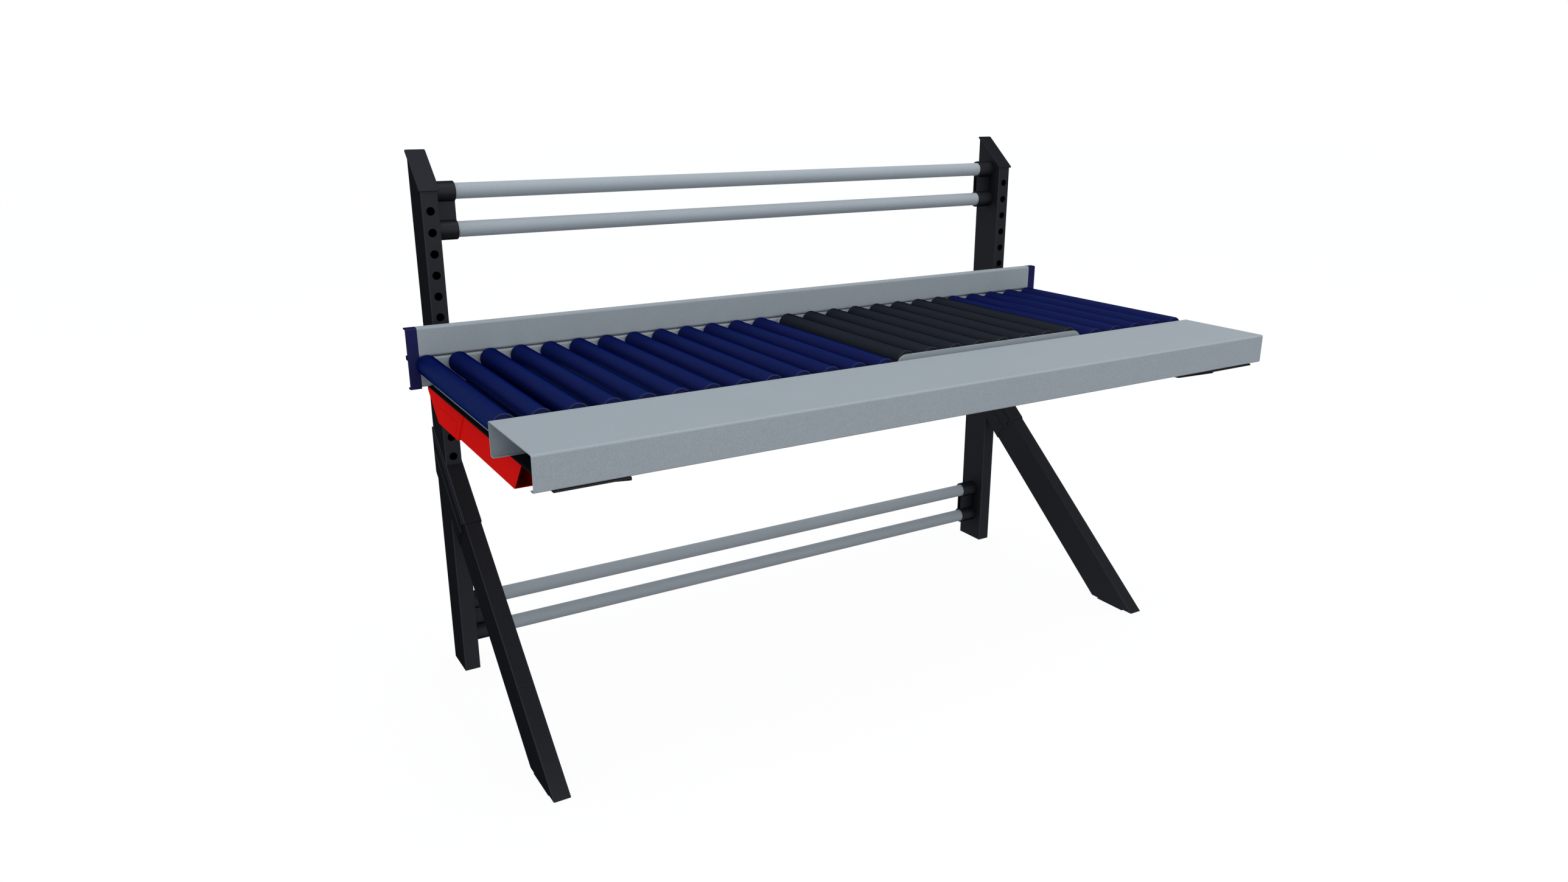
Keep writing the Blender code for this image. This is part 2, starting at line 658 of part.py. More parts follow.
BED_ROLLERS = [i for i in range(ROLLER_COUNT) if not is_weighing(i)]
WEIGH_ROLLERS = [i for i in range(ROLLER_COUNT) if is_weighing(i)]
BED_ENDS = (COVER_BACK + ROLLER_END_GAP, RAIL_FRONT - ROLLER_END_GAP)
CRADLE_FACES = (COVER_BACK + WEIGH_INSET, RAIL_FRONT - WEIGH_INSET)
WEIGH_ENDS = (CRADLE_FACES[0] + CRADLE_SHEET + WEIGH_END_GAP,
              CRADLE_FACES[1] - CRADLE_SHEET - WEIGH_END_GAP)


def rail_section(bottom):
    """Section of a rail: a channel that opens to the back."""
    top = bottom + RAIL_HEIGHT
    path = [(RAIL_BACK, bottom), (RAIL_FRONT, bottom), (RAIL_FRONT, top), (RAIL_BACK, top)]
    return folded(path, SHEET, BEND)


def rear_rails():
    bm = bmesh.new()
    prism(bm, rail_section(BED_HEIGHT), on_x, -RAIL_X, RAIL_X)
    rail = piece("rear_side_rail", mesh_of("rear_side_rail", bm), GREY_COAT)
    axles(rail, BED_ROLLERS, AXLE_Z, (BED_ENDS[1] - AXLE_GRIP, RAIL_FRONT + SHEET + AXLE_TAIL))
    bm = bmesh.new()
    prism(bm, rail_section(GUIDE_BOTTOM), on_x, -RAIL_X, RAIL_X)
    piece("rear_guide_rail", mesh_of("rear_guide_rail", bm), GREY_COAT)


def rail_cap(name, side):
    """Plastic end cap of both rails, open like them to the back, with a tongue in each rail."""
    near = side * (RAIL_X + FIT)
    far = side * (RAIL_X + RAIL_CAP_LENGTH)
    wall = RAIL_FRONT + RAIL_CAP_WALL
    joint = (RAIL_TOP + GUIDE_BOTTOM) / 2
    rib_low = joint - RAIL_CAP_MIDDLE / 2
    rib_high = joint + RAIL_CAP_MIDDLE / 2
    bottom = BED_HEIGHT - RAIL_CAP_DROP
    outline = rounded([(RAIL_FRONT, bottom, BEND), (RAIL_BACK, bottom, 0),
                       (RAIL_BACK, bottom + RAIL_CAP_WALL, 0), (wall, bottom + RAIL_CAP_WALL, 0),
                       (wall, rib_low, 0), (RAIL_BACK, rib_low, 0), (RAIL_BACK, rib_high, 0),
                       (wall, rib_high, 0), (wall, GUIDE_TOP - RAIL_CAP_WALL, 0),
                       (RAIL_BACK, GUIDE_TOP - RAIL_CAP_WALL, 0), (RAIL_BACK, GUIDE_TOP, 0),
                       (RAIL_FRONT, GUIDE_TOP, BEND)])
    bm = bmesh.new()
    prism(bm, outline, on_x, *sorted((near, far)))
    obj = piece(name, mesh_of(name, bm), NAVY_PLASTIC)
    front = RAIL_FRONT + SHEET + FIT
    back = front + RAIL_CAP_WALL
    inset_z = BEND + FIT
    tongues = bmesh.new()
    for rail_bottom in (BED_HEIGHT, GUIDE_BOTTOM):
        low = rail_bottom + inset_z
        high = rail_bottom + RAIL_HEIGHT - inset_z
        face = [(front, low), (back, low), (back, high), (front, high)]
        span = (side * (RAIL_X - RAIL_CAP_TONGUE), side * (RAIL_X + RAIL_CAP_LENGTH / 2))
        prism(tongues, face, on_x, *sorted(span))
    fuse(obj, tongues)


def front_cover():
    """Wide folded cover: its rear flange holds the roller axles, and lips stiffen both edges."""
    path = [(COVER_FRONT + COVER_LIP, BED_HEIGHT), (COVER_FRONT, BED_HEIGHT), (COVER_FRONT, RAIL_TOP),
            (COVER_BACK, RAIL_TOP), (COVER_BACK, BED_HEIGHT), (COVER_BACK - COVER_LIP, BED_HEIGHT)]
    bm = bmesh.new()
    prism(bm, folded(path, SHEET, BEND), on_x, -COVER_X, COVER_X)
    obj = piece("front_cover", mesh_of("front_cover", bm), GREY_COAT)
    axles(obj, BED_ROLLERS, AXLE_Z, (COVER_BACK - SHEET - AXLE_TAIL, BED_ENDS[0] + AXLE_GRIP))


def cross_member(name, x):
    """Channel across the bed, open downwards, centred on x."""
    half = CROSS_WIDTH / 2
    path = [(x - half, BED_HEIGHT), (x - half, CROSS_TOP), (x + half, CROSS_TOP), (x + half, BED_HEIGHT)]
    bm = bmesh.new()
    prism(bm, folded(path, SHEET, BEND), on_y, COVER_BACK + FIT, RAIL_FRONT - FIT)
    piece(name, mesh_of(name, bm), GREY_COAT)


def cradle_plate(name, face, inwards, roller_end):
    """Side plate of the weighing cradle, with round top corners and a folded foot."""
    left = roller_x(WEIGH_FIRST) - CRADLE_END
    right = roller_x(WEIGH_FIRST + WEIGH_COUNT - 1) + CRADLE_END
    bottom = CROSS_TOP + FIT
    top = WEIGH_Z + CRADLE_RISE
    toe = face + inwards * CRADLE_FOOT
    path = [(toe, bottom), (face, bottom), (face, 2 * top - bottom)][::inwards]
    bm = bmesh.new()
    prism(bm, folded(path, CRADLE_SHEET, CRADLE_SHEET + BEND), on_x, left - CRADLE_END, right + CRADLE_END)
    obj = piece(name, mesh_of(name, bm), GREY_COAT)
    outline = rounded([(left, bottom - CRADLE_SHEET, 0), (right, bottom - CRADLE_SHEET, 0),
                       (right, top, CRADLE_CORNER), (left, top, CRADLE_CORNER)])
    trim = bmesh.new()
    prism(trim, outline, on_y, *sorted((face - inwards * CRADLE_FOOT, toe + inwards * CRADLE_FOOT)))
    keep(obj, trim)
    outside = face - inwards * AXLE_TAIL
    axles(obj, WEIGH_ROLLERS, WEIGH_Z, sorted((outside, roller_end + inwards * AXLE_GRIP)))


def roller_mesh(name, ends):
    """Roller about its own Y axis: dished ends, and a bore for the axle."""
    half = (ends[1] - ends[0]) / 2
    radius = ROLLER_DIAMETER / 2
    rim = radius - ROLLER_RIM
    bore = (AXLE_FLATS / 2 / cos(pi / 6) + FIT) / cos(pi / ROLLER_SIDES)
    sunk = half - ROLLER_SINK
    profile = [(radius, -half), (radius, half), (rim, sunk), (bore, sunk), (bore, -sunk), (rim, -sunk)]
    bm = bmesh.new()
    skin(bm, [on_y(circle(r, ROLLER_SIDES), y) for r, y in profile], ring=True)
    return mesh_of(name, bm)


def rollers(label, indices, ends, z, material):
    """A row of rollers that share one mesh, each with its origin on its own axis."""
    mesh = roller_mesh(label, ends)
    for number, index in enumerate(indices, 1):
        place = (roller_x(index), (ends[0] + ends[1]) / 2, z)
        piece("{}_{:02d}".format(label, number), mesh, material, place)


# Assembly

def clear_scene():
    for obj in list(bpy.data.objects):
        bpy.data.objects.remove(obj)


def side_frame(label, side):
    x = side * FRAME_X
    upright(label + "_upright", x)
    upright_cap(label + "_upright_cap", x)
    leg(label + "_leg", x)
    leg_glide(label + "_leg_glide", x)
    knee(label + "_knee", x)
    arm(label + "_arm", x)
    bed_bracket(label + "_bed_bracket", side)
    cross_x = side * (FRAME_X + BRACKET_OUTER - CROSS_INSET - CROSS_WIDTH / 2)
    cross_member(label + "_cross_member", cross_x)
    rail_cap(label + "_rail_cap", side)


def crossbars():
    for label, middle in (("upper", UPRIGHT_HEIGHT - UPPER_PAIR_DROP), ("lower", LOWER_PAIR_HEIGHT)):
        crossbar(label + "_crossbar_top", middle + CROSSBAR_SPACING / 2)
        crossbar(label + "_crossbar_bottom", middle - CROSSBAR_SPACING / 2)
        socket(label + "_left_socket", -1, middle)
        socket(label + "_right_socket", 1, middle)


def weighing_cradle():
    cradle_plate("cradle_front_plate", CRADLE_FACES[0], 1, WEIGH_ENDS[0])
    cradle_plate("cradle_rear_plate", CRADLE_FACES[1], -1, WEIGH_ENDS[1])
    cross_member("cradle_left_cross_member", roller_x(WEIGH_FIRST) + ROLLER_PITCH / 2)
    cross_member("cradle_right_cross_member", roller_x(WEIGH_FIRST + WEIGH_COUNT - 1) - ROLLER_PITCH / 2)


def main():
    clear_scene()
    root = bpy.data.objects.new("table", None)
    root.location = (0, ORIGIN_Y, 0)
    bpy.context.collection.objects.link(root)
    side_frame("left", -1)
    side_frame("right", 1)
    crossbars()
    rear_rails()
    front_cover()
    weighing_cradle()
    rollers("bed_roller", BED_ROLLERS, BED_ENDS, AXLE_Z, BLUE_ROLLER)
    rollers("weigh_roller", WEIGH_ROLLERS, WEIGH_ENDS, WEIGH_Z, BLACK_ROLLER)
    bpy.context.view_layer.update()


main()
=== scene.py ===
"""Dresses the packed roller table for a studio picture.

Every solid of the frame gets a fine version of itself: round rollers with capped ends, folded
sheet with soft edges, perforated tubes and moulded clasps, in coated, moulded and rubbery
finishes. Sizes are in metres, in the frame's own axes: X along the bed, Y to the back, Z up.
"""

import json
from math import atan2, cos, pi, radians, sin, tan

import bmesh
import bpy
from bpy.props import FloatProperty, FloatVectorProperty, IntProperty, PointerProperty
from bpy.types import NodeSocket, Operator, Panel, PropertyGroup
from mathutils import Matrix, Vector
from mathutils.geometry import intersect_line_plane

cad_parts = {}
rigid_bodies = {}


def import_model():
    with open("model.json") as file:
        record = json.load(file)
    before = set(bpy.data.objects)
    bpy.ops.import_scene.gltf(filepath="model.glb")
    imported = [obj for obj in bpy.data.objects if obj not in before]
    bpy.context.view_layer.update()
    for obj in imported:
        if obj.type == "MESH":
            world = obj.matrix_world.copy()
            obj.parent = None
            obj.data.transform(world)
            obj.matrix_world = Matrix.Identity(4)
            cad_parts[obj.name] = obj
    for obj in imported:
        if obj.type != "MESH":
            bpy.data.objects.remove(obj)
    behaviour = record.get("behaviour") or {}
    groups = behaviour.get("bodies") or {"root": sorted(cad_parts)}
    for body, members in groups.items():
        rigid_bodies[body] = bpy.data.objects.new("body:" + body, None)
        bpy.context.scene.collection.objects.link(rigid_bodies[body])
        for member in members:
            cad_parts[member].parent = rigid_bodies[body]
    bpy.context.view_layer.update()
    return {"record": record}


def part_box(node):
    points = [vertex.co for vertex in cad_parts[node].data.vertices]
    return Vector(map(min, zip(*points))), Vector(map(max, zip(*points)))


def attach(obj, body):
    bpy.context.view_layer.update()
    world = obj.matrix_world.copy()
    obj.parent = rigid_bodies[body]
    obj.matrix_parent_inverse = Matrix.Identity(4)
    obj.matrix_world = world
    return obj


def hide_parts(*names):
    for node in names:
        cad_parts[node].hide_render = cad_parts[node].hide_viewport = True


bl_info = {
    "name": "Roller Table",
    "version": (1, 0, 0),
    "blender": (4, 5, 0),
    "location": "3D View > Sidebar > Roller Table",
    "description": "Dresses the packed roller table with fine pieces, finishes and a studio",
    "category": "Object",
}

for leftover in list(bpy.data.objects):
    bpy.data.objects.remove(leftover)
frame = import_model()

RECORD = frame["record"]
BODY_OF = {node: body for body, nodes in RECORD["behaviour"]["bodies"].items() for node in nodes}
SLOT_OF = {part["node"]: part["material_slot"] for part in RECORD["subparts"]}
SIDES = {"left": -1, "right": 1}  # with their directions along X
AXIS_Y = Vector((0, 1, 0))

# Slopes that the side frames share
LEAN = radians(40)  # legs, tops of the uprights and backs of the sleeves
ARM_CUT = radians(50)  # cut ends of the arms and their sleeves
LEAN_UP = Vector((0, cos(LEAN), sin(LEAN)))
LEAN_OUT = Vector((0, -sin(LEAN), cos(LEAN)))

# Facets and edges
ROUND_SIDES = 64  # rollers, crossbars and sockets
HOLE_SIDES = 40
HEXAGON_SIDES = 6
BEND_STEPS = 6  # facets of a fold, a rounded corner or a soft edge
RIM_STEPS = 3  # facets of a turned rim
EDGE_SEGMENTS = 2  # facets of a rounded cut edge
QUARTER_TURN = [pi / 2 * step / BEND_STEPS for step in range(BEND_STEPS + 1)]
SHARP_TURN = radians(50)  # cut edges with a larger turn are rounded
CREASE_TURN = radians(32)  # edges with a larger turn shade as creases
EDGE_STRIP = 0.0013  # faces narrower than this are rounded edges

# Roller ends, as shares of their own sizes
COLLAR_STAND = 0.6  # of the sink, by which a collar stands out of its cap
PRESS_FIT = 0.1  # of the tube's wall, by which a cap sits in it
CAP_ROUND = 0.4  # of the rim's rounding


# Outlines

def circle(radius):
    """Points of a circle about the origin."""
    angles = [2 * pi * i / ROUND_SIDES for i in range(ROUND_SIDES)]
    return [(radius * cos(angle), radius * sin(angle)) for angle in angles]


def shifted(points, da, db):
    """An outline moved in its own plane."""
    return [(a + da, b + db) for a, b in points]


def rounded(corners):
    """Outline through (a, b, radius) corners, with an arc wherever the radius isn't zero."""
    points = []
    for i, (a, b, radius) in enumerate(corners):
        here = Vector((a, b))
        if radius == 0:
            points.append((a, b))
            continue
        before = (Vector(corners[i - 1][:2]) - here).normalized()
        after = (Vector(corners[(i + 1) % len(corners)][:2]) - here).normalized()
        half = before.angle(after) / 2
        centre = here + (before + after).normalized() * radius / sin(half)
        start = here + before * radius / tan(half) - centre
        end = here + after * radius / tan(half) - centre
        first = atan2(start.y, start.x)
        sweep = (atan2(end.y, end.x) - first + pi) % (2 * pi) - pi
        for step in range(BEND_STEPS + 1):
            angle = first + sweep * step / BEND_STEPS
            points.append((centre.x + radius * cos(angle), centre.y + radius * sin(angle)))
    return points


def oblong(low_a, high_a, low_b, high_b):
    """Rectangle between two limits each way."""
    return [(low_a, low_b), (high_a, low_b), (high_a, high_b), (low_a, high_b)]


def rectangle(width, height, radius):
    """Rectangle about the origin, with rounded corners."""
    corners = oblong(-width / 2, width / 2, -height / 2, height / 2)
    return rounded([(a, b, radius) for a, b in corners])


def beside(path, distance, closed=False):
    """A path moved sideways, to the right of its direction."""
    ends = path + path[:1] if closed else path
    sides = []
    for start, end in zip(ends, ends[1:]):
        along = (Vector(end) - Vector(start)).normalized()
        sides.append(Vector((along.y, -along.x)))
    first = sides[-1:] if closed else sides[:1]
    moved = []
    for here, before, after in zip(path, first + sides, sides + sides[-1:]):
        between = (before + after).normalized()
        moved.append(Vector(here) + between * distance / between.dot(before))
    return moved


def folded(path, thickness, bend):
    """Section of a folded sheet whose left side runs along a path. Bend is the outer radius."""
    opposite = beside(path, thickness)
    left = [(*path[0], 0)]
    right = [(*opposite[0], 0)]
    for before, here, after, across in zip(path, path[1:], path[2:], opposite[1:]):
        turn = (Vector(here) - Vector(before)).cross(Vector(after) - Vector(here))
        radii = (bend, bend - thickness) if turn < 0 else (bend - thickness, bend)
        left.append((*here, radii[0]))
        right.append((*across, radii[1]))
    left.append((*path[-1], 0))
    right.append((*opposite[-1], 0))
    return rounded(left + right[::-1])


def inset(points, distance):
    """A closed outline moved inwards all round, whichever way it runs."""
    area = sum(a[0] * b[1] - b[0] * a[1] for a, b in zip(points, points[1:] + points[:1]))
    return beside(points, -distance if area > 0 else distance, closed=True)


# Shapes, each a list of equal loops that are joined in order

def on_x(points, x):
    """Loop of (y, z) points at x."""
    return [(x, a, b) for a, b in points]


def on_y(points, y):
    """Loop of (x, z) points at y."""
    return [(a, y, b) for a, b in points]


def on_z(points, z):
    """Loop of (x, y) points at z."""
    return [(a, b, z) for a, b in points]


def prism(outline, place, low, high, soft=0.0):
    """An outline drawn out along an axis, with soft edges at both ends if asked."""
    low, high = sorted((low, high))
    if not soft:
        return [place(outline, low), place(outline, high)]
    near, far = [], []
    for angle in QUARTER_TURN:
        smaller = inset(outline, soft * (1 - sin(angle)))
        depth = soft * (1 - cos(angle))
        near.append(place(smaller, low + depth))
        far.insert(0, place(smaller, high - depth))
    return near + far


def drawn(section, place, *planes):
    """A section drawn out along a matrix's Z, with a loop where it meets each plane."""
    along = place.to_3x3().col[2]
    starts = [place @ Vector((a, b, 0)) for a, b in section]
    return [[intersect_line_plane(p, p + along, *plane) for p in starts] for plane in planes]


def placing(origin, x_axis, y_axis, z_axis):
    """Matrix from an origin and three directions."""
    turn = Matrix((x_axis, y_axis, z_axis)).transposed().to_4x4()
    return Matrix.Translation(origin) @ turn


# Meshes

def solid(*shapes, closed=False):
    """Mesh of shapes, faces outwards: capped bars, or closed on their first loops."""
    bm = bmesh.new()
    for loops in shapes:
        rows = [[bm.verts.new(point) for point in loop] for loop in loops]
        pairs = list(zip(rows, rows[1:]))
        if closed:
            pairs.append((rows[-1], rows[0]))
        else:
            bm.faces.new(rows[0])
            bm.faces.new(rows[-1])
        for near, far in pairs:
            for i in range(len(near)):
                bm.faces.new((near[i - 1], near[i], far[i], far[i - 1]))
    bmesh.ops.recalc_face_normals(bm, faces=bm.faces)
    mesh = bpy.data.meshes.new("piece")
    bm.to_mesh(mesh)
    bm.free()
    return mesh


def in_scene(name, data):
    """A new object in the scene."""
    obj = bpy.data.objects.new(name, data)
    bpy.context.scene.collection.objects.link(obj)
    return obj


def applied(obj):
    """Plain mesh of an object with its modifiers. The object goes."""
    bpy.context.view_layer.update()
    graph = bpy.context.evaluated_depsgraph_get()
    mesh = bpy.data.meshes.new_from_object(obj.evaluated_get(graph))
    bpy.data.objects.remove(obj)
    return mesh


def modified(mesh, kind, **settings):
    """A mesh after one modifier."""
    obj = in_scene("helper", mesh)
    modifier = obj.modifiers.new(kind.lower(), kind)
    for name, value in settings.items():
        setattr(modifier, name, value)
    return applied(obj)


def combined(mesh, operation, *shapes):
    """Exact Boolean of a mesh with shapes."""
    tool = in_scene("helper", solid(*shapes))
    result = modified(mesh, "BOOLEAN", operation=operation, solver="EXACT", object=tool)
    bpy.data.objects.remove(tool)
    return result


def softened(mesh, width):
    """A mesh with its cut edges rounded."""
    return modified(mesh, "BEVEL", width=width, segments=EDGE_SEGMENTS, limit_method="ANGLE",
                    angle_limit=SHARP_TURN)


def mark_faces(mesh, name, chosen):
    """A number on each face for the finishes to read: 1 on the chosen ones."""
    values = [float(chosen(face)) for face in mesh.polygons]
    mesh.attributes.new(name, "FLOAT", "FACE").data.foreach_set("value", values)


def evenly_shaded(mesh):
    """A mesh with smooth rounded edges and flat faces, whose rounded edges are marked for a
    painted highlight.
    """
    mesh.shade_smooth()
    mesh.set_sharp_from_angle(angle=CREASE_TURN)
    mesh = modified(mesh, "WEIGHTED_NORMAL", keep_sharp=True)

    def on_soft_edge(face):
        edges = [mesh.edges[mesh.loops[i].edge_index] for i in face.loop_indices]
        ends = [[mesh.vertices[i].co for i in edge.vertices] for edge in edges]
        sizes = [(a - b).length for a, b in ends]
        longest = max(sizes)
        sharp = any(e.use_edge_sharp for e, size in zip(edges, sizes) if size > longest / 2)
        return face.area < EDGE_STRIP * longest and not sharp

    # The marked rounded edges get a painted highlight in the finishes that ask for one.
    mark_faces(mesh, "edge", on_soft_edge)
    return mesh


def riding(name, mesh, body):
    """A piece in the scene that rides on a body."""
    obj = in_scene(name, mesh)
    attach(obj, body)
    return obj


def stand_in(node, mesh):
    """The fine piece that rides on a CAD node's body and stands for the node."""
    if not mesh.polygons:
        raise RuntimeError(node + " came out empty")
    mesh = evenly_shaded(mesh)
    mesh.name = node + ".fine"
    mesh.materials.clear()
    mesh.materials.append(finish(SLOT_OF[node]))
    obj = riding(node + ".fine", mesh, BODY_OF[node])
    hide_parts(node)


# Node trees

FLOAT = "NodeSocketFloat"
INT = "NodeSocketInt"
VECTOR = "NodeSocketVector"
GEOMETRY = "NodeSocketGeometry"
MATERIAL = "NodeSocketMaterial"


def add_node(tree, kind, inputs=None, **settings):
    """A node with its settings, and with its inputs set or linked."""
    node = tree.nodes.new(kind)
    for name, value in settings.items():
        setattr(node, name, value)
    for name, value in (inputs or {}).items():
        if isinstance(value, NodeSocket):
            tree.links.new(value, node.inputs[name])
        else:
            node.inputs[name].default_value = value
    return node


def output(tree, kind, inputs=None, **settings):
    """First output of a new node."""
    return add_node(tree, kind, inputs, **settings).outputs[0]


def calculated(operation, *values):
    """Output of a Math node on numbers and sockets, the first of which is a socket."""
    return output(values[0].id_data, "ShaderNodeMath", dict(enumerate(values)),
                  operation=operation)


def plus(a, b):
    """Sum of two sockets."""
    return calculated("ADD", a, b)


def minus(a, b):
    """Difference of two sockets, or of a socket and a number."""
    return calculated("SUBTRACT", a, b)


def times(a, b):
    """Product of two sockets, or of a socket and a number."""
    return calculated("MULTIPLY", a, b)


def new_tree(name, kind, inputs, outputs):
    """An empty tree with named sockets, and its input sockets."""
    tree = bpy.data.node_groups.new(name, kind)
    for in_out, sockets in (("INPUT", inputs), ("OUTPUT", outputs)):
        for label, socket in sockets.items():
            tree.interface.new_socket(label, in_out=in_out, socket_type=socket)
    return tree, tree.nodes.new("NodeGroupInput").outputs


def shared(build):
    """The node group that a function builds under its own name, made once."""
    name = build.__name__
    return bpy.data.node_groups.get(name) or build(name)


# Geometry Nodes

def piece_tree(name, sockets):
    """An empty tree for a piece, with its sizes and its material as inputs."""
    return new_tree(name, "GeometryNodeTree", {**sockets, "Material": MATERIAL},
                    {"Piece": GEOMETRY})


def end_tree(tree, given, geometry):
    """A piece's tree, closed by real geometry with its material."""
    whole = output(tree, "GeometryNodeRealizeInstances", {"Geometry": geometry})
    painted = output(tree, "GeometryNodeSetMaterial",
                     {"Geometry": whole, "Material": given["Material"]})
    add_node(tree, "NodeGroupOutput", {"Piece": painted})
    return tree


def grown(tree, mesh=None, **values):
    """Plain mesh that a Geometry Nodes tree makes, with its inputs set by name."""
    obj = in_scene("helper", mesh or bpy.data.meshes.new(tree.name))
    modifier = obj.modifiers.new(tree.name, "NODES")
    modifier.node_group = tree
    wanted = {name.title(): value for name, value in values.items()}
    for item in tree.interface.items_tree:
        if item.in_out == "INPUT" and item.name in wanted:
            modifier[item.identifier] = wanted.pop(item.name)
    if wanted:
        raise ValueError("{} has no input {}".format(tree.name, sorted(wanted)))
    return applied(obj)


def turned_ring(name):
    """A ring turned about Z: a rounded rectangle swept along a circle."""
    names = ("Inner", "Outer", "Low", "High", "Round")
    tree, given = new_tree(name, "GeometryNodeTree", dict.fromkeys(names, FLOAT),
                           {"Ring": GEOMETRY})
    inner, outer, low, high, rounding = (given[name] for name in names)
    path = output(tree, "GeometryNodeCurvePrimitiveCircle",
                  {"Resolution": ROUND_SIDES, "Radius": times(plus(outer, inner), 0.5)})
    section = output(tree, "GeometryNodeCurvePrimitiveQuadrilateral",
                     {"Width": minus(outer, inner), "Height": minus(high, low)})
    fillet = output(tree, "GeometryNodeFilletCurve",
                    {"Curve": section, "Count": RIM_STEPS, "Radius": rounding}, mode="POLY")
    swept = output(tree, "GeometryNodeCurveToMesh", {"Curve": path, "Profile Curve": fillet})
    lift = output(tree, "ShaderNodeCombineXYZ", {"Z": times(plus(high, low), 0.5)})
    moved = output(tree, "GeometryNodeTransform", {"Geometry": swept, "Translation": lift})
    add_node(tree, "NodeGroupOutput", {"Ring": moved})
    return tree


def ring(inner, outer, low, high, rounding):
    """A turned ring in the tree that its sizes come from."""
    sizes = {"Inner": inner, "Outer": outer, "Low": low, "High": high, "Round": rounding}
    return output(outer.id_data, "GeometryNodeGroup", sizes, node_tree=shared(turned_ring))


def roller(name):
    """A roller along Y: a tube, and at each end a sunk cap with a collar round the axle."""
    names = ("Radius", "Wall", "Length", "Round", "Sink", "Cap", "Bore", "Collar")
    tree, given = piece_tree(name, dict.fromkeys(names, FLOAT))
    radius, wall, span, rounding, sink, cap, bore, collar = (given[name] for name in names)
    half = times(span, 0.5)
    seat = minus(half, sink)
    behind = minus(seat, cap)
    stand = times(sink, COLLAR_STAND)
    far_end = (behind, seat, minus(behind, stand), plus(seat, stand))
    back, face, foot, tip = (times(height, -1) for height in far_end)
    near_end = (face, back, tip, foot)
    inner = minus(radius, wall)
    pressed = plus(inner, times(wall, PRESS_FIT))
    fused = plus(bore, times(collar, 0.5))
    outer = plus(bore, collar)
    fine = times(rounding, CAP_ROUND)
    rings = [ring(inner, radius, times(half, -1), half, rounding)]
    for back, face, foot, tip in (far_end, near_end):
        rings.append(ring(fused, pressed, back, face, fine))
        rings.append(ring(bore, outer, foot, tip, fine))
    joined = tree.nodes.new("GeometryNodeJoinGeometry")
    for part in rings:
        tree.links.new(part, joined.inputs[0])
    turned = output(tree, "GeometryNodeTransform",
                    {"Geometry": joined.outputs[0], "Rotation": (-pi / 2, 0, 0)})
    return end_tree(tree, given, turned)


def crossbar(name):
    """A round tube along X."""
    names = ("Radius", "Wall", "Length", "Round")
    tree, given = piece_tree(name, dict.fromkeys(names, FLOAT))
    radius, wall, span, rounding = (given[name] for name in names)
    half = times(span, 0.5)
    tube = ring(minus(radius, wall), radius, times(half, -1), half, rounding)
    turned = output(tree, "GeometryNodeTransform",
                    {"Geometry": tube, "Rotation": (0, pi / 2, 0)})
    return end_tree(tree, given, turned)


def row_along_y(given, sides, depth, start, step):
    """A row of cylinders that lie along Y, one step from each to the next."""
    tree = given["Count"].id_data
    cylinder = output(tree, "GeometryNodeMeshCylinder",
                      {"Vertices": sides, "Radius": given["Radius"], "Depth": depth})
    line = output(tree, "GeometryNodeMeshLine",
                  {"Count": given["Count"], "Start Location": start, "Offset": step})
    return output(tree, "GeometryNodeInstanceOnPoints",
                  {"Points": line, "Instance": cylinder, "Rotation": (pi / 2, 0, 0)})


def axle_row(name):
    """A row of hexagon axle ends along X."""
    tree, given = piece_tree(name, {"Count": INT, "Start": VECTOR, "Pitch": FLOAT,
                                    "Length": FLOAT, "Radius": FLOAT})
    step = output(tree, "ShaderNodeCombineXYZ", {"X": given["Pitch"]})
    row = row_along_y(given, HEXAGON_SIDES, given["Length"], given["Start"], step)
    return end_tree(tree, given, row)


def perforated(name):
    """A tube with a row of round holes through one wall, from the top hole down."""
    tree, given = piece_tree(name, {"Tube": GEOMETRY, "First": VECTOR, "Pitch": FLOAT,
                                    "Count": INT, "Radius": FLOAT, "Depth": FLOAT})
    step = output(tree, "ShaderNodeCombineXYZ", {"Z": times(given["Pitch"], -1)})
    row = row_along_y(given, HOLE_SIDES, given["Depth"], given["First"], step)
    drills = output(tree, "GeometryNodeRealizeInstances", {"Geometry": row})
    holes = output(tree, "GeometryNodeMeshBoolean",
                   {"Mesh 1": given["Tube"], "Mesh 2": drills}, operation="DIFFERENCE")
    return end_tree(tree, given, holes)


# Finishes

CLOUDS_PER_METRE = 7.0  # slow drift of tone
TURNING_STRETCH = 0.02  # change of the turning marks round a roller, against along it
ROUGHNESS_SPREAD = 0.14  # between the smoothest and the roughest grains


def fine_grain(name):
    """Fine even grain of a coat or a moulding, its slow drift of tone and a painted highlight
    along its rounded edges.
    """
    inputs = dict.fromkeys(("Grains Per Metre", "Speckle", "Drift", "Edge Gain"), FLOAT)
    tree, given = new_tree(name, "ShaderNodeTree", inputs, {"Height": FLOAT, "Tone": FLOAT})
    place = add_node(tree, "ShaderNodeTexCoord").outputs["Object"]
    grain = add_node(tree, "ShaderNodeTexNoise",
                     {"Vector": place, "Scale": given["Grains Per Metre"], "Detail": 2.0,
                      "Roughness": 0.6}).outputs["Fac"]
    cloud = add_node(tree, "ShaderNodeTexNoise",
                     {"Vector": place, "Scale": CLOUDS_PER_METRE, "Detail": 3.0}).outputs["Fac"]
    edge = add_node(tree, "ShaderNodeAttribute", attribute_name="edge").outputs["Fac"]
    speck = times(minus(grain, 0.5), given["Speckle"])
    swing = times(minus(cloud, 0.5), given["Drift"])
    # Faces marked as rounded edges are painted lighter, as a painted highlight.
    painted_edge_highlight = calculated("MULTIPLY_ADD", edge, given["Edge Gain"], 1.0)
    tone = plus(plus(speck, swing), painted_edge_highlight)
    add_node(tree, "NodeGroupOutput", {"Height": grain, "Tone": tone})
    return tree


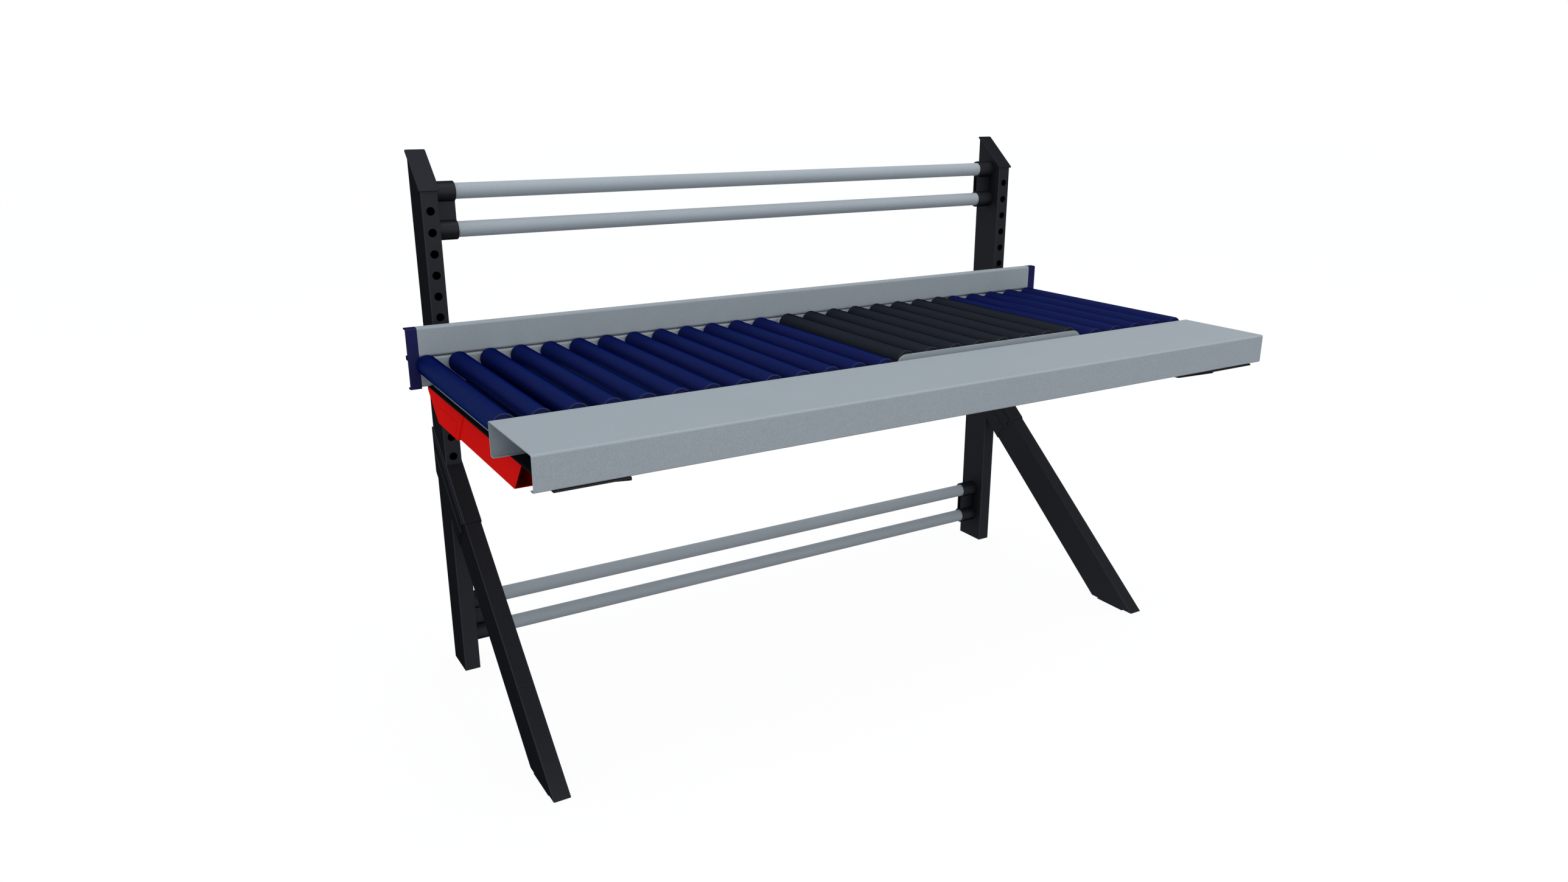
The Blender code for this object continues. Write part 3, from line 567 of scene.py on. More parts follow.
def turning_marks(name):
    """Faint rings that a lathe leaves round a roller along Y."""
    tree, given = new_tree(name, "ShaderNodeTree", {"Rings Per Metre": FLOAT}, {"Rings": FLOAT})
    place = add_node(tree, "ShaderNodeTexCoord").outputs["Object"]
    apart = add_node(tree, "ShaderNodeSeparateXYZ", {"Vector": place}).outputs
    vector = output(tree, "ShaderNodeCombineXYZ",
                    {"X": times(apart["X"], TURNING_STRETCH), "Y": apart["Y"]})
    noise = add_node(tree, "ShaderNodeTexNoise",
                     {"Vector": vector, "Scale": given["Rings Per Metre"], "Detail": 3.0})
    add_node(tree, "NodeGroupOutput", {"Rings": noise.outputs["Fac"]})
    return tree


def blended(tree, blend, factor, first, second):
    """Output of a colour Mix node on colours or sockets."""
    inputs = {0: factor, 6: first, 7: second}
    mix = add_node(tree, "ShaderNodeMix", inputs, data_type="RGBA", blend_type=blend)
    return mix.outputs[2]


def coated(name, colour, roughness=0.5, specular=0.0, metallic=0.0, grains=550.0, depth=0.00003,
           speckle=0.12, drift=0.06, edge_gain=0.0, rings=0.0, accent=None, lacquer=None):
    """An even coat or moulding with fine grain, turning marks and, on marked faces, a second
    colour that paints a highlight on the rollers' ends and shade inside the arms.
    """
    material = bpy.data.materials.new(name)
    material.use_nodes = True
    tree = material.node_tree
    sockets = tree.nodes["Principled BSDF"].inputs
    sockets["Specular IOR Level"].default_value = specular
    sockets["Metallic"].default_value = metallic
    if metallic:
        # Flakes in a matt coat lose their shine at flat angles
        sockets["Specular Tint"].default_value = (0, 0, 0, 1)
    if lacquer is not None:
        # A matt tinted lacquer, which takes more light on its way through at flat angles
        sockets["Coat Weight"].default_value = 1.0
        sockets["Coat IOR"].default_value = 1.0
        sockets["Coat Tint"].default_value = (*lacquer, 1)
    # Edge Gain paints a highlight along the rounded edges.
    look = {"Grains Per Metre": grains, "Speckle": speckle, "Drift": drift,
            "Edge Gain": edge_gain}
    grain = add_node(tree, "ShaderNodeGroup", look, node_tree=shared(fine_grain)).outputs
    base = (*colour, 1)
    # Marked faces take a second colour: a painted highlight on the rollers' ends, painted shade
    # inside the arms.
    if accent is not None:
        marked = add_node(tree, "ShaderNodeAttribute", attribute_name="accent").outputs["Fac"]
        base = blended(tree, "MIX", marked, base, (*accent, 1))
    rough = grain["Height"]
    if rings:
        rough = output(tree, "ShaderNodeGroup", {"Rings Per Metre": rings},
                       node_tree=shared(turning_marks))
    uneven = calculated("MULTIPLY_ADD", rough, ROUGHNESS_SPREAD, roughness - ROUGHNESS_SPREAD / 2)
    bump = output(tree, "ShaderNodeBump",
                  {"Height": grain["Height"], "Strength": 1.0, "Distance": depth})
    toned = blended(tree, "MULTIPLY", 1.0, base, grain["Tone"])
    for socket, value in (("Base Color", toned), ("Roughness", uneven), ("Normal", bump)):
        tree.links.new(value, sockets[socket])
    return material


FINISHES = {}  # materials made so far, by their slots


def finish(slot):
    """Material of one of the record's slots, made the first time that it is asked for."""
    if slot in FINISHES:
        return FINISHES[slot]
    if slot in bpy.data.materials:
        bpy.data.materials[slot].name = slot + "_plain"
    look = bpy.context.scene.roller_table.finishes
    kinds = {
        # The frame black paints a highlight along its rounded edges.
        "black_coat": dict(colour=look.black, roughness=0.55, metallic=0.72, speckle=1.2,
                           edge_gain=0.3),
        "black_plastic": dict(colour=look.moulding, roughness=0.55, metallic=0.8, speckle=0.8),
        "red_coat": dict(colour=look.red, speckle=0.8, accent=look.red_inside),
        # The sheet grey has a fainter painted highlight along its bends.
        "grey_coat": dict(colour=look.grey, specular=0.02, speckle=0.55, edge_gain=0.08),
        "grey_tube": dict(colour=look.tube, roughness=0.45, specular=0.03, speckle=0.5),
        "navy_plastic": dict(colour=look.navy, roughness=0.55, metallic=0.6, speckle=0.3),
        "blue_roller": dict(colour=look.blue, roughness=0.45, specular=0.032, depth=0.00002,
                            speckle=0.45, rings=300.0, accent=look.blue_rims,
                            lacquer=look.blue_lacquer),
        "black_roller": dict(colour=look.rubber, specular=0.042, speckle=0.7, rings=200.0,
                             accent=look.rubber_rims, lacquer=look.rubber_lacquer),
    }
    FINISHES[slot] = coated(slot, **kinds[slot])
    return FINISHES[slot]


# Places

def middle(node):
    """Middle of a CAD node's box."""
    low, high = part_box(node)
    return (low + high) / 2


def on_both_sides(piece):
    """For each side: its label, the piece's node there and the node's box."""
    for label in SIDES:
        node = label + "_" + piece
        yield (label, node, *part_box(node))


def nodes_named(start):
    """CAD nodes whose names start so, in order."""
    return sorted(node for node in BODY_OF if node.startswith(start))


def cover_back():
    """Rear face of the front cover, just in front of the cross-members."""
    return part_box("left_cross_member")[0].y


def fold_sheet(node, path, place, low, high, sheet, bend):
    """The fine piece of a node that is folded from one sheet along a path."""
    section = folded(path, sheet.thickness, bend)
    stand_in(node, solid(prism(section, place, low, high, sheet.edge)))


# Roller bed

def hexagon_radius(flats):
    """Radius to the corners of a hexagon, from the size across its flats."""
    return flats / 2 / cos(pi / HEXAGON_SIDES)


def make_rollers(sizes, label):
    """All rollers of a kind, each on its own axle."""
    nodes = nodes_named(label)
    low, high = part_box(nodes[0])
    shape = grown(shared(roller), radius=(high.x - low.x) / 2, wall=sizes.wall,
                  length=high.y - low.y, round=sizes.round, sink=sizes.sink, cap=sizes.cap,
                  bore=hexagon_radius(sizes.axle_flats), collar=sizes.collar,
                  material=finish(SLOT_OF[nodes[0]]))
    rim = (high.y - low.y) / 2 - sizes.round

    # Rims are painted paler, and end caps partly so, the more squarely a face looks along the
    # axle: a painted highlight.
    def paleness(face):
        if abs(face.center.y) > rim:
            return 1
        return sizes.cap_paleness * abs(face.normal.y)

    mark_faces(shape, "accent", paleness)
    for node in nodes:
        mesh = shape.copy()
        mesh.transform(Matrix.Translation(middle(node)))
        stand_in(node, mesh)
    bpy.data.meshes.remove(shape)


def roller_runs():
    """Unbroken runs of like rollers from left to right: their first place and how many."""
    places = {node: middle(node) for node in BODY_OF if "_roller_" in node}
    runs = []
    for node in sorted(places, key=lambda name: places[name].x):
        kind = node.rsplit("_", 1)[0]
        if runs and runs[-1][0] == kind:
            runs[-1][2] += 1
        else:
            runs.append([kind, places[node], 1])
    return runs


def make_axles(sizes):
    """Hexagon axle ends in the gaps between the rollers and what holds them."""
    pitch = (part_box("bed_roller_02")[0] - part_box("bed_roller_01")[0]).x
    rows = 0
    for kind, place, count in roller_runs():
        low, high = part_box(kind + "_01")
        if kind == "weigh_roller":
            roots = (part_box("cradle_front_plate")[0].y + sizes.axle_inset,
                     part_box("cradle_rear_plate")[1].y - sizes.axle_inset)
        else:
            roots = (cover_back() - sizes.axle_stub,
                     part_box("rear_guide_rail")[0].y + sizes.axle_stub)
        for root, end, inwards in zip(roots, (low.y, high.y), (1, -1)):
            rows += 1
            tip = end + inwards * sizes.axle_grip
            start = Vector((place.x, (tip + root) / 2, place.z))
            mesh = grown(shared(axle_row), count=count, start=start, pitch=pitch,
                         length=abs(tip - root), radius=hexagon_radius(sizes.axle_flats),
                         material=finish("grey_tube"))
            riding("axle_row_{}".format(rows), mesh, "table")


def make_rails(sheet):
    """The two stacked rear channels, open to the back."""
    front, back = (corner.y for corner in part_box("rear_guide_rail"))
    for node in ("rear_side_rail", "rear_guide_rail"):
        low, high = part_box(node)
        if node == "rear_side_rail":
            high.z -= sheet.rail_slot / 2
        else:
            low.z += sheet.rail_slot / 2
        path = [(back, low.z), (front, low.z), (front, high.z), (back, high.z)]
        fold_sheet(node, path, on_x, low.x, high.x, sheet, sheet.rail_bend)


def make_rail_caps(sheet):
    """Moulded end caps of the rear channels, with ribs at their tops, middles and bottoms."""
    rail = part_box("rear_side_rail")
    joint = (rail[1].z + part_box("rear_guide_rail")[0].z) / 2
    wall, rib = sheet.cap_wall, sheet.cap_rib / 2
    for label, node, low, high in on_both_sides("rail_cap"):
        side = SIDES[label]
        low.z -= sheet.cap_drop
        inside = low.y + wall
        outline = rounded([
            (low.y, low.z, sheet.bend), (high.y, low.z, 0), (high.y, low.z + wall, 0),
            (inside, low.z + wall, 0), (inside, joint - rib, 0), (high.y, joint - rib, 0),
            (high.y, joint + rib, 0), (inside, joint + rib, 0), (inside, high.z - wall, 0),
            (high.y, high.z - wall, 0), (high.y, high.z, 0), (low.y, high.z, sheet.bend)])
        rail_end, outer = (rail[0].x, low.x) if side < 0 else (rail[1].x, high.x)
        cap = prism(outline, on_x, rail_end + side * sheet.gap, outer, sheet.edge)
        stand_in(node, solid(cap))


def make_front_cover(sheet):
    """The wide cover, folded from one sheet with a lip along both bottom edges."""
    low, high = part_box("front_cover")
    back = cover_back()
    path = [(low.y + sheet.lip, low.z), (low.y, low.z), (low.y, high.z),
            (back, high.z), (back, low.z), (back - sheet.lip, low.z)]
    fold_sheet("front_cover", path, on_x, low.x, high.x, sheet, sheet.bend)


def make_cross_members(sheet):
    """Channels across the bed, open downwards."""
    for place in ("left", "right", "cradle_left", "cradle_right"):
        node = place + "_cross_member"
        low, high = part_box(node)
        path = [(low.x, low.z), (low.x, high.z), (high.x, high.z), (high.x, low.z)]
        fold_sheet(node, path, on_y, low.y, high.y, sheet, sheet.bend)


def make_cradle(sheet):
    """Side plates of the weighing cradle: round top corners and a folded foot."""
    for node, inwards in (("cradle_front_plate", 1), ("cradle_rear_plate", -1)):
        low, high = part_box(node)
        high.x += sheet.plate_reach
        face = (low.y if inwards > 0 else high.y) + inwards * sheet.axle_tail
        foot = inwards * sheet.foot
        # The sheet runs past the plate at its ends and top, and is trimmed to the outline
        path = [(face + foot, low.z), (face, low.z), (face, 2 * high.z - low.z)][::inwards]
        section = folded(path, sheet.plate, sheet.plate + sheet.bend)
        mesh = solid(prism(section, on_x, low.x - sheet.foot, high.x + sheet.foot))
        bottom = low.z - sheet.plate
        outline = rounded([(low.x, bottom, 0), (high.x, bottom, 0),
                           (high.x, high.z, sheet.corner), (low.x, high.z, sheet.corner)])
        trim = prism(outline, on_y, face - foot, face + 2 * foot)
        stand_in(node, softened(combined(mesh, "INTERSECT", trim), sheet.edge))


# Side frames

def tube_section(tube, shrink=0.0):
    """Section of the frame tube, smaller all round by shrink."""
    low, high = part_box("left_upright")
    corner = max(tube.corner - shrink, tube.soft)
    return rectangle(high.x - low.x - 2 * shrink, high.y - low.y - 2 * shrink, corner)


def frame_tube(tube, place, lower, upper):
    """Frame tube along a matrix's Z between two planes."""
    outside = drawn(tube_section(tube), place, lower, upper)
    inside = drawn(tube_section(tube, tube.wall), place, upper, lower)
    return solid(outside + inside, closed=True)


def level(z):
    """Level plane at a height."""
    return Vector((0, 0, z)), Vector((0, 0, 1))


def upright_edge(label):
    """Front top edge of an upright: its middle in X, its Y and its height."""
    low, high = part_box(label + "_upright")
    return Vector(((low.x + high.x) / 2, low.y, high.z - (high.y - low.y) * tan(LEAN)))


def make_uprights(tube):
    """Perforated tubes with sloped tops."""
    for label, node, low, high in on_both_sides("upright"):
        edge = upright_edge(label)
        place = Matrix.Translation((low + high) / 2)
        mesh = frame_tube(tube, place, level(low.z), (edge, LEAN_OUT))
        # The drills go through the front wall only
        mesh = grown(shared(perforated), mesh, first=edge - Vector((0, 0, tube.hole_drop)),
                     pitch=tube.hole_pitch, count=tube.hole_count,
                     radius=tube.hole_diameter / 2, depth=4 * tube.wall,
                     material=finish(SLOT_OF[node]))
        stand_in(node, softened(mesh, tube.soft))


def make_upright_caps(tube):
    """Thin lids on the sloped tops, with plugs in the tubes."""
    for label, node, cap_low, cap_high in on_both_sides("upright_cap"):
        low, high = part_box(label + "_upright")
        width = cap_high.x - cap_low.x
        overhang = (width - (high.x - low.x)) / 2
        slant = (high.y - low.y) / cos(LEAN) + 2 * overhang
        edge = upright_edge(label)
        centre = edge + LEAN_UP * (high.y - low.y) / 2 / cos(LEAN)
        lid = solid(prism(rectangle(width, slant, tube.lid_corner), on_z, tube.gap, tube.lid,
                          tube.lid_edge))
        lid.transform(placing(centre, Vector((1, 0, 0)), LEAN_UP, LEAN_OUT))
        plug = drawn(tube_section(tube, tube.wall + tube.gap),
                     Matrix.Translation((low + high) / 2),
                     (edge - LEAN_OUT * tube.plug, LEAN_OUT),
                     (edge + LEAN_OUT * tube.lid / 2, LEAN_OUT))
        stand_in(node, combined(lid, "UNION", plug))


def leg_place(label):
    """Matrix of a leg's axis, from where it meets the upright's front."""
    low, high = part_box(label + "_leg")
    lower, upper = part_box(label + "_upright")
    depth = upper.y - lower.y
    height = low.z + (lower.y - low.y) * tan(LEAN) - depth / 2 / cos(LEAN)
    origin = ((low.x + high.x) / 2, lower.y, height)
    return placing(origin, Vector((-1, 0, 0)), LEAN_OUT, LEAN_UP)


def make_legs(tube):
    """Leaning tubes with a level foot end."""
    for label, node, low, high in on_both_sides("leg"):
        mesh = frame_tube(tube, leg_place(label), level(low.z), (high, AXIS_Y))
        stand_in(node, softened(mesh, tube.soft))


def make_leg_glides(tube):
    """Pads under the legs, as wide as the tubes."""
    for label, node, ground, _ in on_both_sides("leg_glide"):
        low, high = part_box(label + "_leg")
        front, back = ground.y, ground.y + tube.glide
        under = low.z - tube.gap
        pad = rounded([(front, ground.z, tube.glide_edge), (back, ground.z, tube.glide_edge),
                       (back, under, 0), (front, under, 0)])
        stand_in(node, solid(prism(pad, on_x, low.x, high.x, tube.glide_edge / 2)))


def leg_point(place, t, v):
    """(y, z) of a point t along a leg's axis and v out from it."""
    point = place @ Vector((0, v, t))
    return point.y, point.z


def upright_room(label, gap, low, high):
    """Shape of the room that a clasp leaves for its upright, open at the back."""
    lower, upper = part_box(label + "_upright")
    beyond = 2 * upper.y - lower.y
    room = oblong(lower.x - gap, upper.x + gap, lower.y - gap, beyond)
    return prism(room, on_z, low, high)


def grooved(mesh, low_x, high_x, paths, size):
    """A clasp with grooves along paths in both its sides: width, depth, slope and bend."""
    width, depth, slope, bend = size
    shapes = []
    for path in paths:
        floor = folded(path, width, bend)
        mouth = folded(beside(path, -slope), width + slope, bend)
        for x, inwards in ((low_x, depth), (high_x, -depth)):
            shapes.append([on_x(floor, x + inwards), on_x(mouth, x), on_x(mouth, x - inwards)])
    return combined(mesh, "DIFFERENCE", *shapes)


def make_knees(knee, tube):
    """Sleeves on the legs' upper ends, whose cheeks clasp the uprights."""
    for label, node, low, high in on_both_sides("knee"):
        place = leg_place(label)
        lower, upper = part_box(label + "_upright")
        front, depth = lower.y, upper.y - lower.y
        out = depth / 2 + (high.x - low.x - (upper.x - lower.x)) / 2
        behind = depth + knee.back
        # The soft outline runs past the cheeks' rear, which is then cut sharp
        beyond = behind + 2 * knee.edge
        corners = [(-knee.sleeve, -out), ((beyond - out * sin(LEAN)) / cos(LEAN), -out),
                   ((beyond + out * sin(LEAN)) / cos(LEAN), out), (-knee.sleeve, out)]
        outline = rounded([(*leg_point(place, t, v), knee.corner) for t, v in corners])
        mesh = solid(prism(outline, on_x, low.x, high.x, knee.edge))
        rear, tip = front + behind, high.z - knee.crop
        bottom, top = low.z - depth, high.z + depth
        trim = rounded([(rear, bottom, 0), (rear, tip, knee.tip), (front, tip, 0),
                        (front, top, 0), (rear + depth, top, 0), (rear + depth, bottom, 0)])
        mesh = combined(mesh, "DIFFERENCE", prism(trim, on_x, low.x - depth, high.x + depth))

        def across_leg(t):
            return Vector((0, *leg_point(place, t, 0))), LEAN_UP

        before = across_leg(-2 * knee.sleeve)
        for gap, end in ((tube.gap, (lower + AXIS_Y * tube.gap, AXIS_Y)),
                         (knee.mouth_gap, across_leg(knee.mouth_depth - knee.sleeve))):
            leg = drawn(tube_section(tube, -gap), place, before, end)
            mesh = combined(mesh, "DIFFERENCE", leg)
        mesh = combined(mesh, "DIFFERENCE", upright_room(label, tube.gap, bottom, top))
        turn = knee.groove_inset - knee.sleeve
        paths = []
        for v, tail in ((knee.upper_groove, knee.upper_tail),
                        (-knee.lower_groove, knee.lower_tail)):
            back = (knee.groove_back + v * sin(LEAN)) / cos(LEAN)
            paths.append([leg_point(place, back, v), leg_point(place, turn, v),
                          leg_point(place, turn, v - tail)])
        stand_in(node, grooved(mesh, low.x, high.x, paths, knee.groove))


def make_arms(arm, tube):
    """Cantilever beams with a cut end, in sleeves whose cheeks clasp the uprights."""
    slope = 1 / tan(ARM_CUT)
    for label, node, low, high in on_both_sides("arm"):
        lower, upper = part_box(label + "_upright")
        front = lower.y
        bottom = low.z + arm.lift
        inside = front - arm.reach / 2
        beam = [(low.y + (high.z - bottom) * slope, bottom), (inside, bottom),
                (inside, high.z), (low.y, high.z)]
        heel = low.z + (high.y - front - arm.heel) * tan(LEAN)
        sleeve = rounded([
            (front - arm.reach, low.z, arm.toe), (front + arm.heel, low.z, arm.corner),
            (high.y, heel, arm.corner), (high.y, high.z, arm.corner),
            (front - arm.reach - (high.z - low.z) * slope, high.z, 0)])
        mesh = combined(solid(prism(sleeve, on_x, low.x, high.x, arm.soft)), "UNION",
                        prism(beam, on_x, lower.x, upper.x, arm.soft))
        size = (upper.x - lower.x - 2 * arm.wall, high.z - bottom - 2 * arm.wall)
        centre = ((low.x + high.x) / 2, (bottom + high.z) / 2)
        opening = shifted(rectangle(*size, arm.soft), *centre)
        hollow = prism(opening, on_y, low.y - arm.reach, front + tube.gap)
        mesh = combined(mesh, "DIFFERENCE", hollow)
        room = upright_room(label, tube.gap, low.z - arm.reach, high.z + arm.reach)
        mesh = combined(mesh, "DIFFERENCE", room)

        def turn_and_tail(rise, tail):
            turn = front + arm.groove_inset - arm.reach - rise * slope
            return [(turn, low.z + rise), (turn + tail * slope, low.z + rise - tail)]

        upper_end = (front + arm.upper_back, low.z + arm.upper_groove)
        lower_bend = (front + arm.lower_back, low.z + arm.lower_groove)
        lower_end = tuple(place + arm.lower_rise for place in lower_bend)
        paths = [[upper_end, *turn_and_tail(arm.upper_groove, arm.upper_tail)],
                 [lower_end, lower_bend, *turn_and_tail(arm.lower_groove, arm.lower_tail)]]
        mesh = grooved(mesh, low.x, high.x, paths, arm.groove)
        half_width, half_height = (extent / 2 + arm.wall / 2 for extent in size)

        # Faces inside the arm's hollow are painted a darker red: painted shade where the hollow
        # lies in shadow.
        def inside_tube(face):
            across = abs(face.center.x - centre[0])
            upwards = abs(face.center.z - centre[1])
            in_hollow = across < half_width and upwards < half_height and face.center.y < front
            return in_hollow and abs(face.normal.y) < arm.inside_tilt

        mark_faces(mesh, "accent", inside_tube)
        stand_in(node, mesh)


def make_bed_brackets(tube):
    """Plates on the arms' tops, with an inner flange that tapers to the front."""
    for label, node, low, high in on_both_sides("bed_bracket"):
        side = SIDES[label]
        inner, outer = (high.x, low.x) if side < 0 else (low.x, high.x)
        fold = inner + side * tube.bracket
        under = high.z - tube.bracket
        stations = ((low.y, under - tube.bracket_nose),
                    (low.y + tube.bracket_taper, low.z), (high.y, low.z))
        loops = [on_y([(outer, high.z), (inner, high.z), (inner, bottom), (fold, bottom),
                       (fold, under), (outer, under)], y) for y, bottom in stations]
        stand_in(node, softened(solid(loops), tube.soft))


def bar_nodes(height):
    """The two crossbars of a level, from the bottom."""
    return ["{}_crossbar_{}".format(height, end) for end in ("bottom", "top")]


def make_crossbars(tube):
    """Round tubes between the side frames."""
    for node in bar_nodes("upper") + bar_nodes("lower"):
        low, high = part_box(node)
        mesh = grown(shared(crossbar), radius=(high.z - low.z) / 2, wall=tube.bar_wall,
                     length=high.x - low.x, round=tube.bar_wall / 4,
                     material=finish(SLOT_OF[node]))
        mesh.transform(Matrix.Translation(middle(node)))
        stand_in(node, mesh)


def boss(tube, centre, radius, base, tip, side):
    """Shape of a round socket along X, with a rounded rim at its tip."""
    loops = [on_x(shifted(circle(radius), *centre), base)]
    for angle in QUARTER_TURN:
        ring_radius = radius - tube.socket_round * (1 - cos(angle))
        x = tip + side * tube.socket_round * (1 - sin(angle))
        loops.append(on_x(shifted(circle(ring_radius), *centre), x))
    return loops


def make_sockets(tube):
    """Pairs of round sockets on one web, on the uprights' inner faces."""
    for height, label in [(height, label) for height in ("upper", "lower") for label in SIDES]:
        node = "{}_{}_socket".format(height, label)
        side = SIDES[label]
        low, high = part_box(node)
        base, tip = (low.x, high.x) if side < 0 else (high.x, low.x)
        past_tip = 2 * tip - base
        bars = [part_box(bar) for bar in bar_nodes(height)]
        lower, upper = [((a.y + b.y) / 2, (a.z + b.z) / 2) for a, b in bars]
        bar_radius = (bars[0][1].z - bars[0][0].z) / 2
        radius = (high.z - low.z - (upper[1] - lower[1])) / 2
        mesh = combined(solid(boss(tube, lower, radius, base, tip, side)), "UNION",
                        boss(tube, upper, radius, base, tip, side))
        front, back = lower[0] - tube.web_front, lower[0] + tube.web_back
        web = oblong(front, back, lower[1], upper[1])
        mesh = combined(mesh, "UNION", prism(web, on_x, base, tip))
        slot_front = front + tube.web_wall
        slot = oblong(slot_front, slot_front + tube.web_slot, lower[1] + radius,
                      upper[1] - radius)
        slot_end = tip + side * tube.web_slot_depth
        mesh = combined(mesh, "DIFFERENCE", prism(slot, on_x, slot_end, past_tip))
        bore = circle(bar_radius + tube.socket_gap)
        floor = base - side * tube.socket_floor
        bores = [prism(shifted(bore, *centre), on_x, floor, past_tip)
                 for centre in (lower, upper)]
        stand_in(node, combined(mesh, "DIFFERENCE", *bores))


# Studio

CAMERA_PLACE = (-1.5245, -2.26265, 1.4453)
CAMERA_HEADING = radians(31.06)  # to the right of +Y
CAMERA_DROP = radians(17.25)  # below the horizon
SENSOR_WIDTH = 36.0
PICTURE_WIDTH = 2576
FOCAL_PIXELS = 1814.6
FLOOR_SIZE = 60.0
LAMP_SIZE = 4.0
LAMP_AIM = Vector((0, 0, 0.6))
# Each soft box's place, and the settings that hold its power and its tint
LAMPS = {
    "key_light": ((0.8, -2.2, 8.5), "key", "lamp_colour"),
    "fill_light": ((-0.35, -6.8, 2.1), "fill", "lamp_colour"),
    "side_light": ((-7.0, -1.0, 1.5), "side", "side_colour"),
}
WHITE = (1, 1, 1, 1)


def make_camera():
    """Camera at the picture's own view."""
    data = bpy.data.cameras.new("camera")
    data.sensor_width = SENSOR_WIDTH
    data.lens = FOCAL_PIXELS / PICTURE_WIDTH * SENSOR_WIDTH
    camera = in_scene("camera", data)
    camera.location = CAMERA_PLACE
    camera.rotation_euler = (pi / 2 - CAMERA_DROP, 0, -CAMERA_HEADING)
    bpy.context.scene.camera = camera


def seen_directly(tree):
    """1 for rays that show the background: from the camera, in a reflection or through glass."""
    path = add_node(tree, "ShaderNodeLightPath").outputs
    seen = calculated("MAXIMUM", path["Is Camera Ray"], path["Is Glossy Ray"])
    return calculated("MAXIMUM", seen, path["Is Transmission Ray"])


def make_floor(stage):
    """Pale floor that shows white and keeps a soft shadow."""
    bm = bmesh.new()
    bmesh.ops.create_grid(bm, x_segments=1, y_segments=1, size=FLOOR_SIZE / 2)
    mesh = bpy.data.meshes.new("floor")
    bm.to_mesh(mesh)
    bm.free()
    material = bpy.data.materials.new("studio_floor")
    material.use_nodes = True
    tree = material.node_tree
    tree.nodes.remove(tree.nodes["Principled BSDF"])
    matte = output(tree, "ShaderNodeBsdfDiffuse", {"Color": (*stage.floor, 1)})
    glow = output(tree, "ShaderNodeEmission", {"Strength": stage.floor_white})
    whitened = times(seen_directly(tree), stage.floor_share)
    mixed = output(tree, "ShaderNodeMixShader", {0: whitened, 1: matte, 2: glow})
    tree.links.new(mixed, tree.nodes["Material Output"].inputs["Surface"])
    mesh.materials.append(material)
    floor = in_scene("floor", mesh)


def make_world(stage):
    """White surroundings that light the table evenly, a little cooler than the lamps."""
    world = bpy.data.worlds.new("studio")
    bpy.context.scene.world = world
    world.use_nodes = True
    tree = world.node_tree
    background = tree.nodes["Background"].inputs
    seen = seen_directly(tree)
    strength = output(tree, "ShaderNodeMix", {"Factor": seen, "A": stage.sky, "B": 1.0},
                      data_type="FLOAT")
    tint = blended(tree, "MIX", seen, (*stage.sky_colour, 1), WHITE)
    tree.links.new(tint, background["Color"])
    tree.links.new(strength, background["Strength"])


def make_lamps(stage):
    """Square soft boxes."""
    for name, (place, energy, tint) in LAMPS.items():
        data = bpy.data.lights.new(name, "AREA")
        data.size = LAMP_SIZE
        data.energy = getattr(stage, energy)
        data.color = getattr(stage, tint)
        lamp = in_scene(name, data)
        lamp.location = place
        lamp.rotation_euler = (LAMP_AIM - Vector(place)).to_track_quat("-Z", "Y").to_euler()


# Settings

def number(name, description, default, **limits):
    """A number that a user may change."""
    return FloatProperty(name=name, description=description, default=default, min=0, **limits)


def numbers(name, description, default, **limits):
    """Several numbers that a user may change."""
    return FloatVectorProperty(name=name, description=description, default=default,
                               size=len(default), min=0, **limits)


def length(*facts):
    """A length that a user may change."""
    return number(*facts, soft_max=1, precision=4, unit="LENGTH")


def lengths(*facts):
    """Several lengths that a user may change."""
    return numbers(*facts, unit="LENGTH")


def colour(*facts):
    """A colour that a user may change."""
    return numbers(*facts, max=1, subtype="COLOR")


def share(*facts):
    """A share of a whole that a user may change."""
    return number(*facts, max=1, subtype="FACTOR")


def power(*facts):
    """A lamp's power that a user may change."""
    return number(*facts, unit="POWER")


class FinishSettings(PropertyGroup):
    """Colours of the finishes."""
    grey: colour("Sheet Grey", "Coat of the sheet metal", (0.345, 0.382, 0.410))
    tube: colour("Tube Grey", "Coat of the crossbars and axles", (0.405, 0.447, 0.481))
    black: colour("Frame Black", "Coat of the side frames", (0.0258, 0.0270, 0.0318))
    moulding: colour("Moulding Black", "Sockets, lids and glides", (0.025, 0.0268, 0.032))
    red: colour("Arm Red", "Coat of the arms", (0.92, 0.0125, 0.0105))
    # Painted shade: the darker red inside the arms' hollows, where shade falls.
    red_inside: colour("Arm Inside", "Thin coat inside the arms", (0.43, 0.007, 0.006))
    navy: colour("Cap Navy", "Moulded rail ends", (0.0165, 0.0185, 0.085))
    blue: colour("Roller Blue", "Rollers of the bed", (0.0184, 0.0194, 0.0887))
    # Painted highlight on the bed rollers' rims and end caps.
    blue_rims: colour("Blue Rims", "Rims of the bed's rollers", (0.0505, 0.0485, 0.1216))
    blue_lacquer: colour("Blue Lacquer", "Tint on the bed's rollers", (0.58, 0.71, 0.92))
    rubber: colour("Roller Black", "Weighing rollers", (0.0328, 0.0354, 0.0404))
    # Painted highlight on the weighing rollers' rims and end caps.
    rubber_rims: colour("Black Rims", "Rims of the weighing rollers", (0.0596, 0.0597, 0.0629))
    rubber_lacquer: colour("Black Lacquer", "Tint on the weighing rollers", (0.66, 0.69, 0.76))


